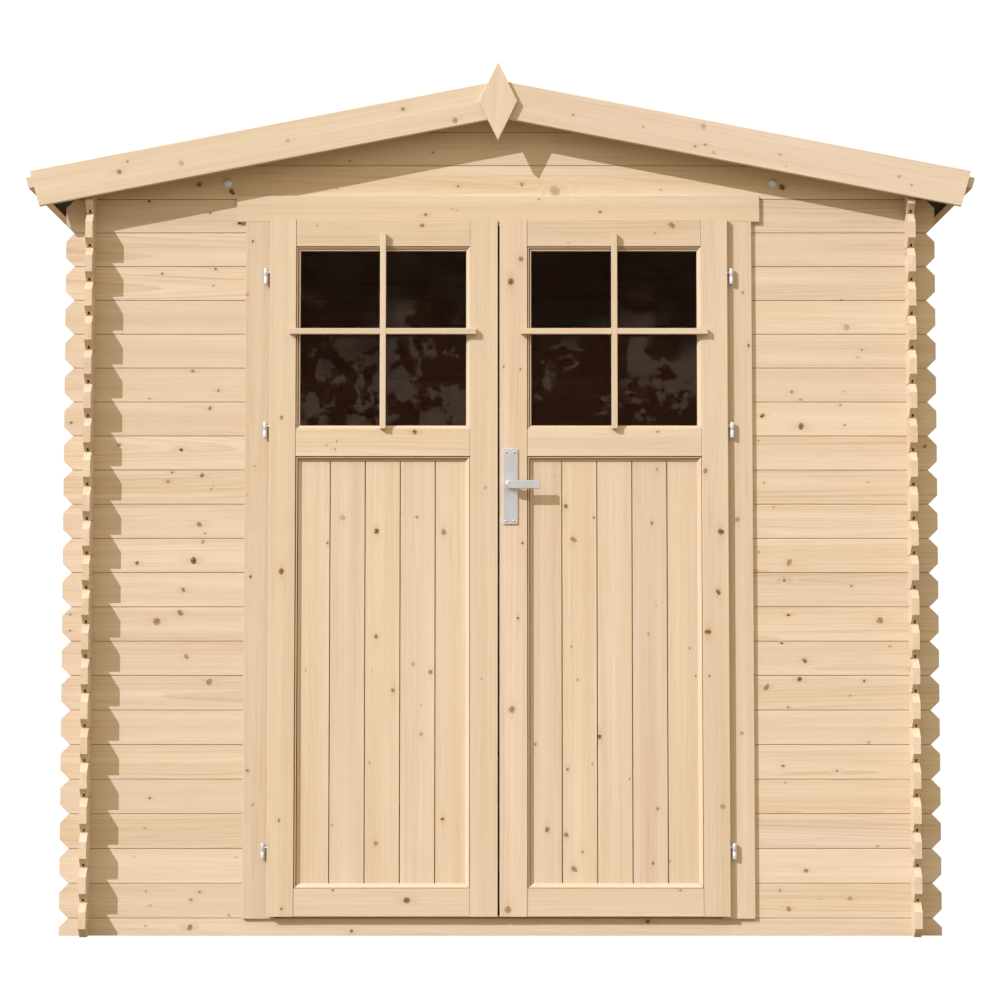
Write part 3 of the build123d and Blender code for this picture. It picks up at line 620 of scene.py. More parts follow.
# ------------------------------------------------------------------ the front's own knots, by board: (u, v, radius, length over width, turn, darkness)
KNOTS = {
    ("BARGE", "left"): ((119, 14, 8, 1.2, 80, 0.45), (247, 70, 6, 1.3, 90, 0.6), (560, 45, 8, 1.9, 0, 0.1),
        (845, 40, 9, 1.6, 70, 0.12), (983, 71, 4, 1.2, 60, 0.4), (1009, 48, 7, 1.1, 10, 0.65)),
    ("BARGE", "right"): ((187, 42, 5, 1.7, 10, 0.4), (373, 47, 4, 1.8, -20, 0.3), (517, 22, 4, 1.2, 20, 0.6),
        (529, 78, 9, 1.3, 100, 0.15), (541, 31, 5, 2.2, 0, 0.45), (567, 15, 6, 1.9, -60, 0.2), (740, 43, 4, 1.9, 66, 0.5),
        (761, 16, 3, 1.6, 90, 0.2), (1057, 45, 5, 1.3, 82, 0.35), (1093, 29, 4, 1.4, 110, 0.35)),
    ("CASL", 0): ((294, 27, 3.7, 1.1, 18, 0.38), (383, 13, 5.2, 1.2, -90, 0.6), (890, 18, 4.8, 1.3, 3, 0.78),
        (1104, 8, 3.4, 2.4, -18, 0.12), (1180, 27, 4.0, 1.2, -46, 0.22), (1634, 5, 4.7, 1.2, -7, 0.42),
        (1776, 18, 4.7, 1.5, -6, 0.68)),
    ("CASR", 0): ((480, 52, 5.8, 1.2, 89, 0.38), (1039, 44, 6.8, 1.1, 43, 0.46), (1499, 76, 5.0, 1.3, -5, 0.72),
        (1639, 62, 4.5, 1.2, -2, 0.46)),
    ("FL", 0): ((-924, 69, 3.7, 1.1, 15, 0.36), (-912, 33, 3.4, 1.5, -89, 0.4), (-806, 48, 5.6, 1.3, 24, 0.42),
        (-784, 68, 4.5, 1.2, 64, 0.54), (-707, 8, 4.7, 1.4, -17, 0.32)),
    ("FL", 1): ((-955, 70, 3.4, 1.6, 47, 0.12), (-690, 68, 4.2, 2.4, 22, 0.12)),
    ("FL", 10): ((-955, 25, 5.8, 1.3, 75, 0.76), (-806, 32, 9.5, 1.4, 81, 1.0), (-782, 81, 6.5, 2.1, 50, 0.4)),
    ("FL", 11): ((-792, 37, 8.1, 1.7, -42, 0.66), (-777, 13, 3.4, 1.4, 3, 0.56)),
    ("FL", 12): ((-875, 60, 4.8, 1.1, 48, 0.78), (-864, 84, 4.7, 1.7, 19, 0.7), (-786, 76, 6.7, 1.4, 50, 0.68),
        (-760, 39, 5.0, 1.8, -58, 0.22), (-756, 50, 4.7, 2.3, -45, 0.12)),
    ("FL", 13): ((-1004, 67, 5.8, 1.3, 0, 0.5), (-841, 54, 6.3, 1.4, -15, 0.9)),
    ("FL", 14): ((-1132, 35, 4.2, 1.2, 0, 0.7), (-766, 73, 6.6, 1.6, 68, 0.6)),
    ("FL", 15): ((-926, 10, 4.2, 1.7, -12, 0.4), (-812, 82, 5.2, 1.3, -2, 0.56), (-744, 31, 4.8, 1.1, -78, 0.44)),
    ("FL", 18): ((-895, 71, 4.5, 1.1, -6, 0.52), (-759, 40, 4.0, 1.9, 0, 0.34), (-754, 84, 4.8, 1.4, 5, 0.66)),
    ("FL", 2): ((-928, 53, 5.0, 1.5, -16, 0.12),),
    ("FL", 20): ((-931, 85, 4.7, 2.4, 7, 1), (-769, 54, 5.0, 1.3, -6, 0.48), (-692, 26, 5.8, 1.6, -24, 0.98)),
    ("FL", 3): ((-916, 41, 4.5, 1.2, 12, 0.64),),
    ("FL", 6): ((-763, 74, 9.1, 1.1, 45, 0.54),),
    ("FL", 7): ((-823, 50, 7.8, 2.1, -50, 0.56),),
    ("FL", 8): ((-1129, 70, 3.7, 1.2, 0, 0.5), (-1128, 28, 4.2, 1.2, 0, 0.6), (-902, 52, 9.5, 1.0, -12, 0.66),
        (-840, 75, 9.1, 1.8, -52, 0.64)),
    ("FL", 9): ((-833, 45, 6.8, 1.6, -62, 0.68),),
    ("FR", 0): ((729, 72, 4.5, 1.3, 87, 0.38), (751, 24, 7.7, 1.5, -63, 0.52), (835, 50, 3.4, 2.4, -35, 0.12),
        (911, 51, 6.3, 1.2, 2, 0.42)),
    ("FR", 1): ((797, 33, 6.3, 1.2, -2, 0.64),),
    ("FR", 10): ((679, 54, 5.2, 1.8, 84, 0.28), (759, 26, 9.1, 1.9, 70, 0.48)),
    ("FR", 11): ((719, 82, 4.0, 2.1, -86, 0.22),),
    ("FR", 12): ((694, 57, 3.7, 2.4, 82, 0.3), (968, 58, 3.7, 2.4, 5, 0.2)),
    ("FR", 13): ((680, 78, 3.1, 1.4, 76, 0.6), (1119, 63, 5.8, 1.4, 60, 0.8)),
    ("FR", 14): ((691, 54, 7.1, 1.6, 31, 0.9), (793, 26, 9.5, 1.6, 88, 0.9), (897, 82, 3.7, 1.1, 8, 0.44),
        (908, 29, 3.1, 2.4, 86, 0.9)),
    ("FR", 15): ((769, 27, 4.7, 1.0, -42, 0.56), (792, 7, 4.5, 1.3, 4, 0.4), (908, 29, 3.1, 1.4, -74, 0.3)),
    ("FR", 16): ((944, 29, 4.8, 2.4, -8, 0.18), (955, 49, 3.7, 1.1, 2, 0.48)),
    ("FR", 17): ((915, 19, 10.5, 1.2, 80, 0.15),),
    ("FR", 18): ((902, 0, 4.2, 1.2, 0, 0.9),),
    ("FR", 2): ((984, 6, 3.4, 1.8, 0, 0.6),),
    ("FR", 3): ((745, 81, 3.4, 1.8, 1, 0.38),),
    ("FR", 4): ((739, 35, 5.0, 1.4, -1, 0.76), (880, 22, 4.5, 1.2, 1, 0.54)),
    ("FR", 5): ((963, 6, 3.7, 1.2, -90, 0.5),),
    ("FR", 6): ((697, 60, 9.3, 2.4, 62, 0.6), (754, 7, 4.2, 2.3, 5, 0.62), (784, 81, 7.4, 1.4, 55, 0.88),
        (916, 38, 3.4, 1.4, 2, 0.52), (953, 76, 4.2, 1.3, 75, 0.78)),
    ("FR", 7): ((738, 85, 4.0, 2.4, -3, 1), (798, 39, 7.7, 1.6, -36, 0.72), (1021, 77, 3.4, 1.4, 0, 0.46)),
    ("FR", 8): ((756, 69, 4.7, 1.4, 0, 1), (996, 55, 9.5, 1.2, -9, 0.62)),
    ("FR", 9): ((746, 70, 5.2, 1.1, -20, 0.66), (922, 55, 4.2, 1.1, 19, 0.72)),
    ("GF", 0): ((-799, 40, 7.9, 1.3, 20, 0.75), (-712, 20, 9.5, 2.2, -49, 0.96), (-432, 28, 3.1, 1.4, 0, 0.4),
        (-112, 35, 4.0, 1.2, -52, 0.66), (57, 40, 6.1, 1.5, -73, 0.58), (145, 22, 15.7, 1.25, -50, 0.22),
        (425, 26, 3.1, 1.5, 0, 0.5), (747, 33, 9.1, 1.2, -53, 0.9)),
    ("GF", 1): ((-399, 13, 3.1, 1.4, 0, 0.6), (-179, 36, 3.4, 1.5, 1, 0.6)),
    ("SILL", 0): ((-924, 25, 3.1, 1.6, -78, 0.54), (-809, 21, 8.5, 1.5, 87, 0.76), (-388, 12, 5.6, 1.5, 75, 0.74),
        (384, 37, 6.6, 1.3, 4, 0.78)),
    ("TRIM", 0): ((-198, 19, 5.4, 1.1, 11, 0.62), (-127, 34, 3.4, 1.8, 0, 0.34), (-114, 30, 3.1, 2.1, -3, 0.18),
        (102, 60, 3.4, 1.4, -5, 0.48), (264, 27, 5.2, 1.4, 7, 0.68)),
    ("left", "bottom"): ((102, 68, 4.0, 1.8, 21, 0.66), (294, 42, 8.8, 1.2, 9, 0.9)),
    ("left", "inner"): ((616, -49, 4.0, 2.0, 69, 0.12), (1116, -39, 5.8, 1.4, 49, 0.14)),
    ("left", "mid"): ((81, 29, 3.1, 1.5, -12, 0.52), (106, 18, 4.5, 1.3, 55, 0.68), (106, 39, 4.7, 1.6, -54, 0.46),
        (312, 64, 7.1, 1.4, -66, 0.82)),
    ("left", "outer"): ((20, -568, 5.0, 1.2, -77, 0.56), (248, -576, 5.4, 1.5, 21, 0.58), (896, -573, 8.3, 1.2, -3, 0.84),
        (1300, -575, 5.8, 1.3, 23, 0.6)),
    ("left", "panel", 0): ((565, 28, 3.7, 2.1, 6, 0.3), (898, 84, 4.2, 1.3, 0, 0.7)),
    ("left", "panel", 1): ((163, 8, 3.4, 1.5, 0, 0.38), (965, 33, 9.4, 1.3, -90, 0.12)),
    ("left", "panel", 2): ((115, 30, 6.7, 1.3, 4, 0.46), (325, 13, 3.1, 1.8, -30, 0.6), (513, 74, 6.0, 1.2, 3, 0.66),
        (562, 18, 3.1, 2.4, -40, 0.12), (653, 30, 6.7, 1.4, 0, 0.68), (929, 30, 8.1, 1.5, 9, 0.9)),
    ("left", "panel", 3): ((399, 56, 6.0, 1.2, 0, 0.36), (475, 56, 3.7, 1.8, -15, 0.12), (560, 80, 6.5, 1.2, -42, 0.6),
        (581, 34, 4.8, 1.2, 56, 0.4), (966, 44, 5.4, 1.1, 46, 0.38)),
    ("left", "panel", 4): ((178, 20, 5.4, 1.2, 79, 0.86), (927, 22, 8.2, 1.2, -6, 0.52)),
    ("left", "top"): ((54, 56, 3.4, 1.3, 32, 0.14), (331, 56, 6.5, 1.4, 2, 0.66)),
    ("right", "bottom"): ((396, 68, 5.2, 2.0, 3, 0.32),),
    ("right", "inner"): ((18, 20, 9.2, 1.1, 7, 0.56), (536, 30, 9.5, 1.3, 7, 0.62), (774, 46, 3.9, 1.0, -90, 0.85),
        (970, 58, 4.2, 1.2, 0, 0.8), (1428, 53, 3.1, 1.3, -22, 0.7), (1434, 9, 3.7, 2.0, 10, 0.7),
        (1660, 28, 9.5, 1.1, -1, 0.86), (1720, 54, 7.3, 1.1, 80, 0.64)),
    ("right", "mid"): ((342, 64, 4.8, 1.4, 0, 0.4),),
    ("right", "outer"): ((284, 579, 8.5, 1.7, -70, 0.34), (623, 546, 3.7, 1.8, -90, 0.7), (738, 543, 9.5, 1.8, 88, 0.84),
        (842, 570, 7.8, 1.6, -21, 0.88), (1000, 578, 9.5, 1.4, -65, 0.88), (1160, 538, 7.3, 1.4, 25, 0.56)),
    ("right", "panel", 0): ((151, 51, 7.8, 1.5, 28, 0.72), (373, 21, 4.2, 1.2, 0, 0.6), (1077, 71, 3.4, 2.4, 50, 0.12)),
    ("right", "panel", 1): ((49, 30, 9.5, 2.1, -51, 0.58), (93, 52, 3.7, 1.2, -86, 0.62), (137, 10, 7.0, 1.4, -41, 0.62),
        (307, 14, 4.5, 1.1, 80, 0.78), (322, 78, 4.0, 2.0, -4, 0.3), (540, 40, 3.4, 1.3, 65, 0.52),
        (627, 24, 3.7, 1.6, 60, 0.4), (907, 30, 9.5, 2.2, -56, 0.58), (965, 84, 4.2, 1.8, -1, 0.58),
        (995, 10, 6.8, 1.4, -26, 0.8)),
    ("right", "panel", 2): ((282, 83, 3.1, 1.4, 30, 0.5), (392, 5, 6.8, 1.2, 0, 0.85)),
    ("right", "panel", 3): ((64, 52, 4.7, 1.5, 6, 0.76), (205, 64, 5.2, 1.1, 53, 0.48), (660, 42, 4.0, 1.2, 32, 0.32),
        (735, 62, 3.4, 1.6, -3, 0.16), (950, 52, 5.0, 1.5, 6, 0.76), (1092, 66, 4.5, 1.3, -2, 0.48)),
    ("right", "panel", 4): ((69, 4, 4.0, 2.0, -1, 0.32), (550, 73, 3.4, 1.5, -90, 0.6), (623, 58, 4.0, 1.4, 14, 0.4)),
    ("right", "top"): ((107, 10, 3.1, 2.0, -8, 0.34), (337, 35, 3.4, 1.4, 2, 0.46), (381, 56, 9.5, 2.1, -47, 0.62)),
}


def some_knots(lo, hi, width, rate, seed):
    """Plausible knots for a board that isn't seen in the photograph."""
    rng = random.Random(seed)
    out, u = [], lo + rng.uniform(40, 300)
    while u < hi - 30:
        r = rng.choice((2.5, 3.5, 4.5, 5.5, 7.0, 9.0)) * rng.uniform(0.8, 1.15)
        out.append((u, rng.uniform(0.15, 0.85) * width, r, rng.uniform(1.0, 1.6), rng.uniform(-25, 25), rng.uniform(0.25, 1.0)))
        u += rng.uniform(0.35, 1.6) * 1000.0 / rate
    return out


# ------------------------------------------------------------------ wall boards
G = 0.53   # half of the gap between two boards
CH = 1.0   # bevel at the joint


def board_loop(low, high, groove=True, tongue=True, t=BOARD_T):
    """Outline of one wall board across its length: (v, w), w = 0 at the outer face."""
    h = high - low
    g0, g1 = (G if groove else 0.0), (h - G if tongue else h)
    c0, c1 = (CH if groove else 0.6), (CH if tongue else 0.6)
    loop = [(g0 + c0, 0.0), (g1 - c1, 0.0), (g1, -c1)]
    if tongue:
        loop += [(g1, -6.6), (g1 + 7.0, -7.0), (g1 + 7.0, -12.0), (g1, -12.4)]
    loop += [(g1, -t + c1), (g1 - c1, -t), (g0 + c0, -t), (g0, -t + c0)]
    if groove:
        loop += [(g0, -12.7), (g0 + 9.0, -12.5), (g0 + 9.0, -6.5), (g0, -6.3)]
    loop += [(g0, -c0)]
    return loop


def end_at(tip, height, low_cut=True, high_cut=True, sign=1):
    """Where a board with a chamfered end stops, at height v over its lower joint."""
    def f(v, w):
        back = 0.0
        if low_cut and v < CHAMFER:
            back = CHAMFER - v
        if high_cut and v > height - CHAMFER:
            back = v - (height - CHAMFER)
        return tip - sign * back
    return f


def wall_course(piece, o, U, V, W, height, u_lo, u_hi, notches, knots=(), groove=True, tongue=True, lo_square=False, hi_square=False,
                low_cut=True, high_cut=True):
    board = Board(o, U, V, W, knots, vc=height / 2)
    board.one_sided, board.jointed = piece.name == "back_boards", True
    loop = board_loop(0, height, groove, tongue)
    start = u_lo if lo_square else end_at(u_lo, height, low_cut, high_cut, -1)
    end = u_hi if hi_square else end_at(u_hi, height, low_cut, high_cut, 1)
    splits, gone = [], {}
    if low_cut or notches:
        splits += [22.5, CHAMFER]
    if high_cut or notches:
        splits += [height - CHAMFER, height - 22.5]
    splits = sorted(set(s for s in splits if 0 < s < height))
    if notches:
        if groove:
            gone[0] = notches
        if tongue:
            gone[len(splits)] = notches
    solid(piece, board, loop, start, end, splits, (), gone)


X, Y, Z = (1, 0, 0), (0, 1, 0), (0, 0, 1)
NX, NY = (-1, 0, 0), (0, -1, 0)
NOTCH_R, NOTCH_L = (WX - BOARD_T, WX), (-WX, -WX + BOARD_T)
WALL_GAP = 625.0

left, right = Piece("front_left_boards"), Piece("front_right_boards")
for k in range(21):
    z = SILL_TOP + k * PITCH
    top = k == 20
    wall_course(left, (0, -WY, z), X, Z, NY, PITCH, -HX, DOOR_X - WALL_GAP, [NOTCH_L], KNOTS.get(("FL", k), ()), hi_square=True)
    wall_course(right, (0, -WY, z), X, Z, NY, PITCH, DOOR_X + WALL_GAP, HX, [NOTCH_R], KNOTS.get(("FR", k), ()), lo_square=True)
left.build("house", M_WALL, ["front_wall_left"], "wall_boards")
right.build("house", M_WALL, ["front_wall_right"], "wall_boards")

sill = Piece("front_sill_course")
b = Board((0, -WY, 0), X, Z, NY, KNOTS.get(("SILL", 0), ()), vc=22.5)
solid(sill, b, board_loop(0, 45.0, groove=False, tongue=True), end_at(-HX, 45.0, False, True, -1), end_at(HX, 45.0, False, True, 1),
      [45.0 - CHAMFER, 22.5], (), {2: [NOTCH_L, NOTCH_R]})
sill.build("house", M_WALL, ["front_sill_board"], "wall_boards")

lintel = Piece("front_lintel_course")
b = Board((0, -WY, 1904.0), X, Z, NY, vc=15.5)
b.jointed = True
solid(lintel, b, board_loop(0, 31.0, groove=False, tongue=True), DOOR_X - WALL_GAP, DOOR_X + WALL_GAP)
lintel.build("house", M_WALL, ["front_lintel_board"], "wall_boards")


def gable_boards(name, node, o_y, W, key):
    piece = Piece(name)
    gx = WX - BOARD_T
    ridge = roof_z(0, DECK_LOW)
    for k, (z0, z1) in enumerate(((1935.0, 2025.0), (2025.0, 2115.0), (2115.0, ridge))):
        h = z1 - z0
        knots = KNOTS.get((key, k), None)
        if knots is None:
            knots = some_knots(-900 + 400 * k, 900 - 400 * k, h, 2.2, 900 + k + len(name))
        board = Board((0, o_y, z0), X, Z, W, knots, vc=h / 2)
        board.one_sided, board.jointed = node == "back_gable", True

        def reach(v, w, z0=z0):
            return max(0.0, min(gx, (ridge - (z0 + v)) / SLOPE))
        if k < 2:
            loop = board_loop(0, h, True, True)
        else:
            loop = [(G + CH, 0.0), (h, 0.0), (h, -BOARD_T), (G + CH, -BOARD_T), (G, -BOARD_T + CH), (G, -12.7), (G + 9.0, -12.5), (G + 9.0, -6.5), (G, -6.3), (G, -CH)]
        corner = ridge - SLOPE * gx - z0
        splits = [corner] if 0 < corner < h else []
        solid(piece, board, loop, lambda v, w: -reach(v, w), reach, splits)
    piece.build("house", M_GABLE_SHADE_WARMED, [node], "wall_boards")


gable_boards("front_gable_boards", "front_gable", -WY, NY, "GF")
gable_boards("back_gable_boards", "back_gable", WY, Y, "GB")

back = Piece("back_boards")
b = Board((0, WY, 0), X, Z, Y, (), vc=22.5)
solid(back, b, board_loop(0, 45.0, groove=False, tongue=True), end_at(-HX, 45.0, False, True, -1), end_at(HX, 45.0, False, True, 1),
      [45.0 - CHAMFER, 22.5], (), {2: [NOTCH_L, NOTCH_R]})
for k in range(21):
    wall_course(back, (0, WY, SILL_TOP + k * PITCH), X, Z, Y, PITCH, -HX, HX, [NOTCH_L, NOTCH_R], some_knots(-HX, HX, PITCH, 2.4, 300 + k))
back.build("house", M_WALL, ["back_wall"], "wall_boards")

for side, node, name in ((-1, "left_wall", "left_side_boards"), (1, "right_wall", "right_side_boards")):
    piece = Piece(name)
    W = (side, 0, 0)
    notch = [(-WY, -WY + BOARD_T), (WY - BOARD_T, WY)]
    for k in range(21):
        wall_course(piece, (side * WX, 0, k * PITCH), Y, Z, W, PITCH, -HY, HY, notch, some_knots(-HY, HY, PITCH, 2.4, 500 + 40 * side + k),
                    groove=k > 0, low_cut=True)
    # the narrower top course, and the bevelled filler under the roof boards
    wall_course(piece, (side * WX, 0, 1890.0), Y, Z, W, 55.5, -HY, HY, (), some_knots(-HY, HY, 55.5, 2.0, 700 + side), groove=True, tongue=False)
    piece.begin()
    z_out, z_in = roof_z(WX, DECK_LOW), roof_z(WX - BOARD_T, DECK_LOW)
    b = Board((side * WX, 0, 1945.5), Y, Z, W, (), vc=25.0)
    solid(piece, b, [(0.3, 0.0), (z_out - 1945.5, 0.0), (z_in - 1945.5, -BOARD_T), (0.3, -BOARD_T)], -HY + CHAMFER, HY - CHAMFER)
    piece.build("house", M_WALL, [node], "wall_boards")

# ------------------------------------------------------------------ roof
for side, node, name in ((-1, "roof_boards_left", "roof_planks_left"), (1, "roof_boards_right", "roof_planks_right")):
    piece = Piece(name)
    n = 22
    width = 2 * HY / n
    xt, zt = eave_point(DECK_TOP, 3.0)
    xl, zl = eave_point(DECK_LOW, 3.0)
    o = Vector((0, 0, roof_z(0, DECK_TOP)))
    U, W = Vector((side * COS, 0, -SIN)), Vector((side * SIN, 0, COS))
    ut = (Vector((side * xt, 0, zt)) - o).dot(U)
    ul = (Vector((side * xl, 0, zl)) - o).dot(U)
    for i in range(n):
        b = Board(o + Vector((0, -HY + i * width, 0)), U, Y, W, some_knots(0, 1230, width, 2.0, 1200 + 50 * side + i), vc=width / 2)
        first, last = i == 0, i == n - 1
        loop = rect(0.2 if not first else 0.0, width - (0.2 if not last else 0.0), -18.0, -0.02, 1.6, (not first, not last, 0, 0), 1)
        solid(piece, b, loop, lambda v, w: -w * SLOPE, lambda v, w: ut + (ul - ut) * (w / -18.0))
    piece.build("house", M_ROOF, [node], "roof_boards")

felt_piece = Piece("felt_sheets")
for side in (-1, 1):
    top, low = eave_point(12.4), eave_point(DECK_LOW + 3.0 / COS)
    path = [(0.0, roof_z(0, 12.4)), top, low, (1152.0, roof_z(1152.0, DECK_LOW + 3.0 / COS)), (1152.0, roof_z(1152.0, DECK_LOW)),
            eave_point(DECK_LOW, 3.0), eave_point(DECK_TOP, 3.0), (0.0, roof_z(0, DECK_TOP))]
    b = Board((0, 0, 0), Y, (side, 0, 0), Z, (), vc=0.0)
    solid(felt_piece, b, path, -HY, HY)
    lap = 560.0
    b = Board((0, 0, 0), Y, (side, 0, 0), Z, (), vc=0.0)
    solid(felt_piece, b, [(0.0, roof_z(0, 12.38)), (lap, roof_z(lap, 12.38)), (lap - 1.0, roof_z(lap - 1.0, 9.9)), (0.0, roof_z(0, 9.9))], -HY, HY)
felt_piece.build("house", M_FELT, ["roof_felt"], "roof_felt")

piece = Piece("eave_batten_strips")
s16, c16 = math.sin(math.radians(16.0)), math.cos(math.radians(16.0))
for side in (-1, 1):
    x0, z0 = eave_point(12.4)
    b = Board((side * x0, 0, z0), Y, (-side * s16, 0, -c16), (side * c16, 0, -s16), some_knots(-HY, HY, 28.5, 1.5, 77 + side), vc=14.0)
    solid(piece, b, rect(0, 28.5, 0, 18.0, 1.0), -HY, HY)
piece.build("house", M_TRIM, ["eave_battens"], "roof_trim")

for where, y_face, Wd in (("front", -HY - 15.0, NY), ("back", HY + 15.0, Y)):
    for side, hand in ((-1, "left"), (1, "right")):
        piece = Piece(f"barge_{where}_{hand}")
        o = Vector((0, y_face, 2237.0 - 97.8))
        U, V = Vector((side * COS, 0, -SIN)), Vector((side * SIN, 0, COS))
        height = 97.8 * COS
        knots = KNOTS.get(("BARGE", hand) if where == "front" else ("none", 0), None)
        if knots is None:
            knots = some_knots(0, 1230, height, 3.0, 60 + side)
        b = Board(o, U, V, Wd, knots, vc=height / 2)
        pt = (Vector((side * 1235.0, y_face, roof_z(1235.0, 0))) - o)
        pl = (Vector((side * 1208.5, y_face, roof_z(1208.5, 97.8))) - o)
        u_top, v_top, u_low, v_low = pt.dot(U), pt.dot(V), pl.dot(U), pl.dot(V)
        solid(piece, b, rect(0, height, -15.0, 0, 1.5), lambda v, w: -v * SLOPE, lambda v, w: u_low + (u_top - u_low) * (v - v_low) / (v_top - v_low))
        piece.build("house", M_TRIM, [f"bargeboard_{where}_{hand}"], "roof_trim")

for where, x, y_face, Wd in (("front", -6.0, -HY - 29.0, NY), ("back", 0.0, HY + 29.0, Y)):
    piece = Piece(f"diamond_{where}")
    b = Board((x, y_face, 2179.5), Z, X, Wd, KNOTS.get(("FINIAL", 0), ()) if where == "front" else (), vc=0.0, seed=(0.62, 0.9, 0.55))
    slab(piece, b, [(-103.5, 0), (0, 50.6), (103.5, 0), (0, -50.6)], [(1.0, -14.0), (0.0, -13.0), (0.0, -1.0), (1.0, 0.0)])
    piece.build("house", M_TRIM, [f"finial_{where}"], "roof_trim")

piece = Piece("ridge_beam")
b = Board((0, 0, 2083.0), Y, X, Z, some_knots(-900, 900, 45, 2, 5), vc=0.0)
zr = roof_z(22.5, DECK_LOW) - 2083.0
solid(piece, b, [(-21, 0.0), (21, 0.0), (22.5, 1.5), (22.5, zr), (0, roof_z(0, DECK_LOW) - 2083.0), (-22.5, zr), (-22.5, 1.5)], -WY + BOARD_T, WY - BOARD_T)
piece.build("house", M_ROOF, ["ridge_purlin"], "roof_beams")
piece = Piece("side_beams")
for side in (-1, 1):
    b = Board((side * 722.5, 0, 1940.0), Y, (side, 0, 0), Z, some_knots(-900, 900, 45, 2, 15 + side), vc=0.0)
    za, zb = roof_z(700, DECK_LOW) - 1940.0, roof_z(745, DECK_LOW) - 1940.0
    solid(piece, b, [(-21, 0.0), (21, 0.0), (22.5, 1.5), (22.5, zb), (-22.5, za), (-22.5, 1.5)], -WY + BOARD_T, WY - BOARD_T)
piece.build("house", M_ROOF, ["side_purlins"], "roof_beams")

# ------------------------------------------------------------------ bolts: dome heads outside, their shanks running into the beams' ends
piece = Piece("dome_bolts")
for side in (-1, 1):
    for face, inward in ((-WY, 1), (WY, -1)):
        x = side * 722.5
        turned(piece, (x, face + inward * 0.5, 1979.0), (x, face - inward * 10.0, 1979.0),
               [(0.0, 12.0), (1.3, 12.2), (2.0, 11.9), (3.2, 10.5), (4.4, 8.1), (5.2, 5.0), (5.6, 0.0)], 32)
        turned(piece, (x, face + inward * 0.4, 1979.0), (x, face + inward * 69.0, 1979.0), [(0.0, 4.0), (66.0, 4.0), (68.0, 3.2)], 16)
piece.build("house", M_ZINC, ["gable_bolts"], "zinc_steel")

# ------------------------------------------------------------------ door frame
JL, JR = DOOR_X - 583.0, DOOR_X + 583.0
piece = Piece("jamb_posts")
stick(piece, (JL - 42, -WY, 45), (JL, -WY + 35, 1862), "z", some_knots(0, 1817, 42, 1.5, 21))
stick(piece, (JR, -WY, 45), (JR + 42, -WY + 35, 1862), "z", some_knots(0, 1817, 42, 1.5, 22))
piece.build("house", M_DOOR, ["door_jambs"], "door_frame")
piece = Piece("head_beam")
b = Board((0, -WY, 1862), X, Z, NY, some_knots(-600, 600, 42, 1.5, 23), vc=21.0)
solid(piece, b, rect(0, 42, -35, 0, 1.2), JL - 42, JR + 42)
solid(piece, Board((0, -WY - 10, 1862), X, Z, NY, (), vc=5.5), rect(0, 11, -10, 0, 0.6), JL, JR)
piece.build("house", M_DOOR, ["door_head_jamb"], "door_frame")
piece = Piece("casing_left")
stick(piece, (DOOR_X - 668.5, -WY - 10, 45), (JL, -WY, 1873), "z", KNOTS.get(("CASL", 0), ()), 1.6)
piece.build("house", M_DOOR, ["door_casing_left"], "door_frame")
piece = Piece("casing_right")
stick(piece, (JR, -WY - 10, 45), (DOOR_X + 668.5, -WY, 1873), "z", KNOTS.get(("CASR", 0), ()), 1.6)
piece.build("house", M_DOOR, ["door_casing_right"], "door_frame")
piece = Piece("head_board")
b = Board((0, -WY, 1873), X, Z, NY, KNOTS.get(("TRIM", 0), ()), vc=35.0)
solid(piece, b, rect(0, 70, 0, 10, 1.6), -697, 685)
piece.build("house", M_DOOR, ["door_head_trim"], "door_frame")

# ------------------------------------------------------------------ hinges
HINGE_Z = (1726.5, 1319.5, 219.5)
AX = {"left": DOOR_X - 614.0, "right": DOOR_X + 614.0}
AY = -WY - 19.0
piece = Piece("hinge_lower_barrels")
for side in ("left", "right"):
    for z in HINGE_Z:
        x = AX[side]
        turned(piece, (x, AY, z - 21), (x, AY, z), [(0.0, 2.0), (0.3, 4.4), (1.2, 5.3), (2.0, 5.5), (20.0, 5.5), (20.5, 5.2), (20.7, 4.4)], 24)
        turned(piece, (x, AY, z - 2), (x, AY, z + 14), [(0.0, 2.45), (15.4, 2.45), (16.0, 1.8)], 12)
        turned(piece, (x, AY + 4.8, z - 10.5), (x, -WY + 24.5, z - 10.5), [(0.0, 3.0), (36.0, 3.0), (38.6, 1.2)], 12)
piece.build("house", M_ZINC, ["hinge_frame_halves"], "zinc_steel")

# ------------------------------------------------------------------ door leaves


def ring_bead(piece, x0, x1, z0, z1, profile, tones, plain=None):
    """A mitred moulding round an opening: profile points are (inward from the edge, y). `plain` is the lower and right sides' own."""
    sides = (((x0, z0), (1, 0), (0, 1), x1 - x0), ((x1, z0), (0, 1), (-1, 0), z1 - z0),
             ((x1, z1), (-1, 0), (0, -1), x1 - x0), ((x0, z1), (0, -1), (1, 0), z1 - z0))
    grooved = profile
    for k, ((cx, cz), (ux, uz), (nx, nz), length) in enumerate(sides):
        profile = plain if plain and k < 2 else grooved
        b = Board((cx, 0, cz), (ux, 0, uz), (nx, 0, nz), NY, (), vc=5.0, seed=(RNG.random(), 0.8, tones))
        piece.begin()
        for (t0, y0), (t1, y1) in zip(profile, profile[1:] + profile[:1]):
            # painted shade: faces at the bottom of the moulding grooves are marked to take a darker, browner colour
            deep = max(t0, t1) < 8.0 and LEAF_FACE + 8.9 < max(y0, y1) < LEAF_FACE + 11.9 and min(y0, y1) < LEAF_BACK - 20
            piece.face(b, [(t0 + 0.35, t0, -y0), (length - t0 - 0.35, t0, -y0), (length - t1 - 0.35, t1, -y1), (t1 + 0.35, t1, -y1)], False, 1.0 if deep else 0.0)
        piece.face(b, [(t + 0.35, t, -y) for t, y in profile])
        piece.face(b, [(length - t - 0.35, t, -y) for t, y in profile])


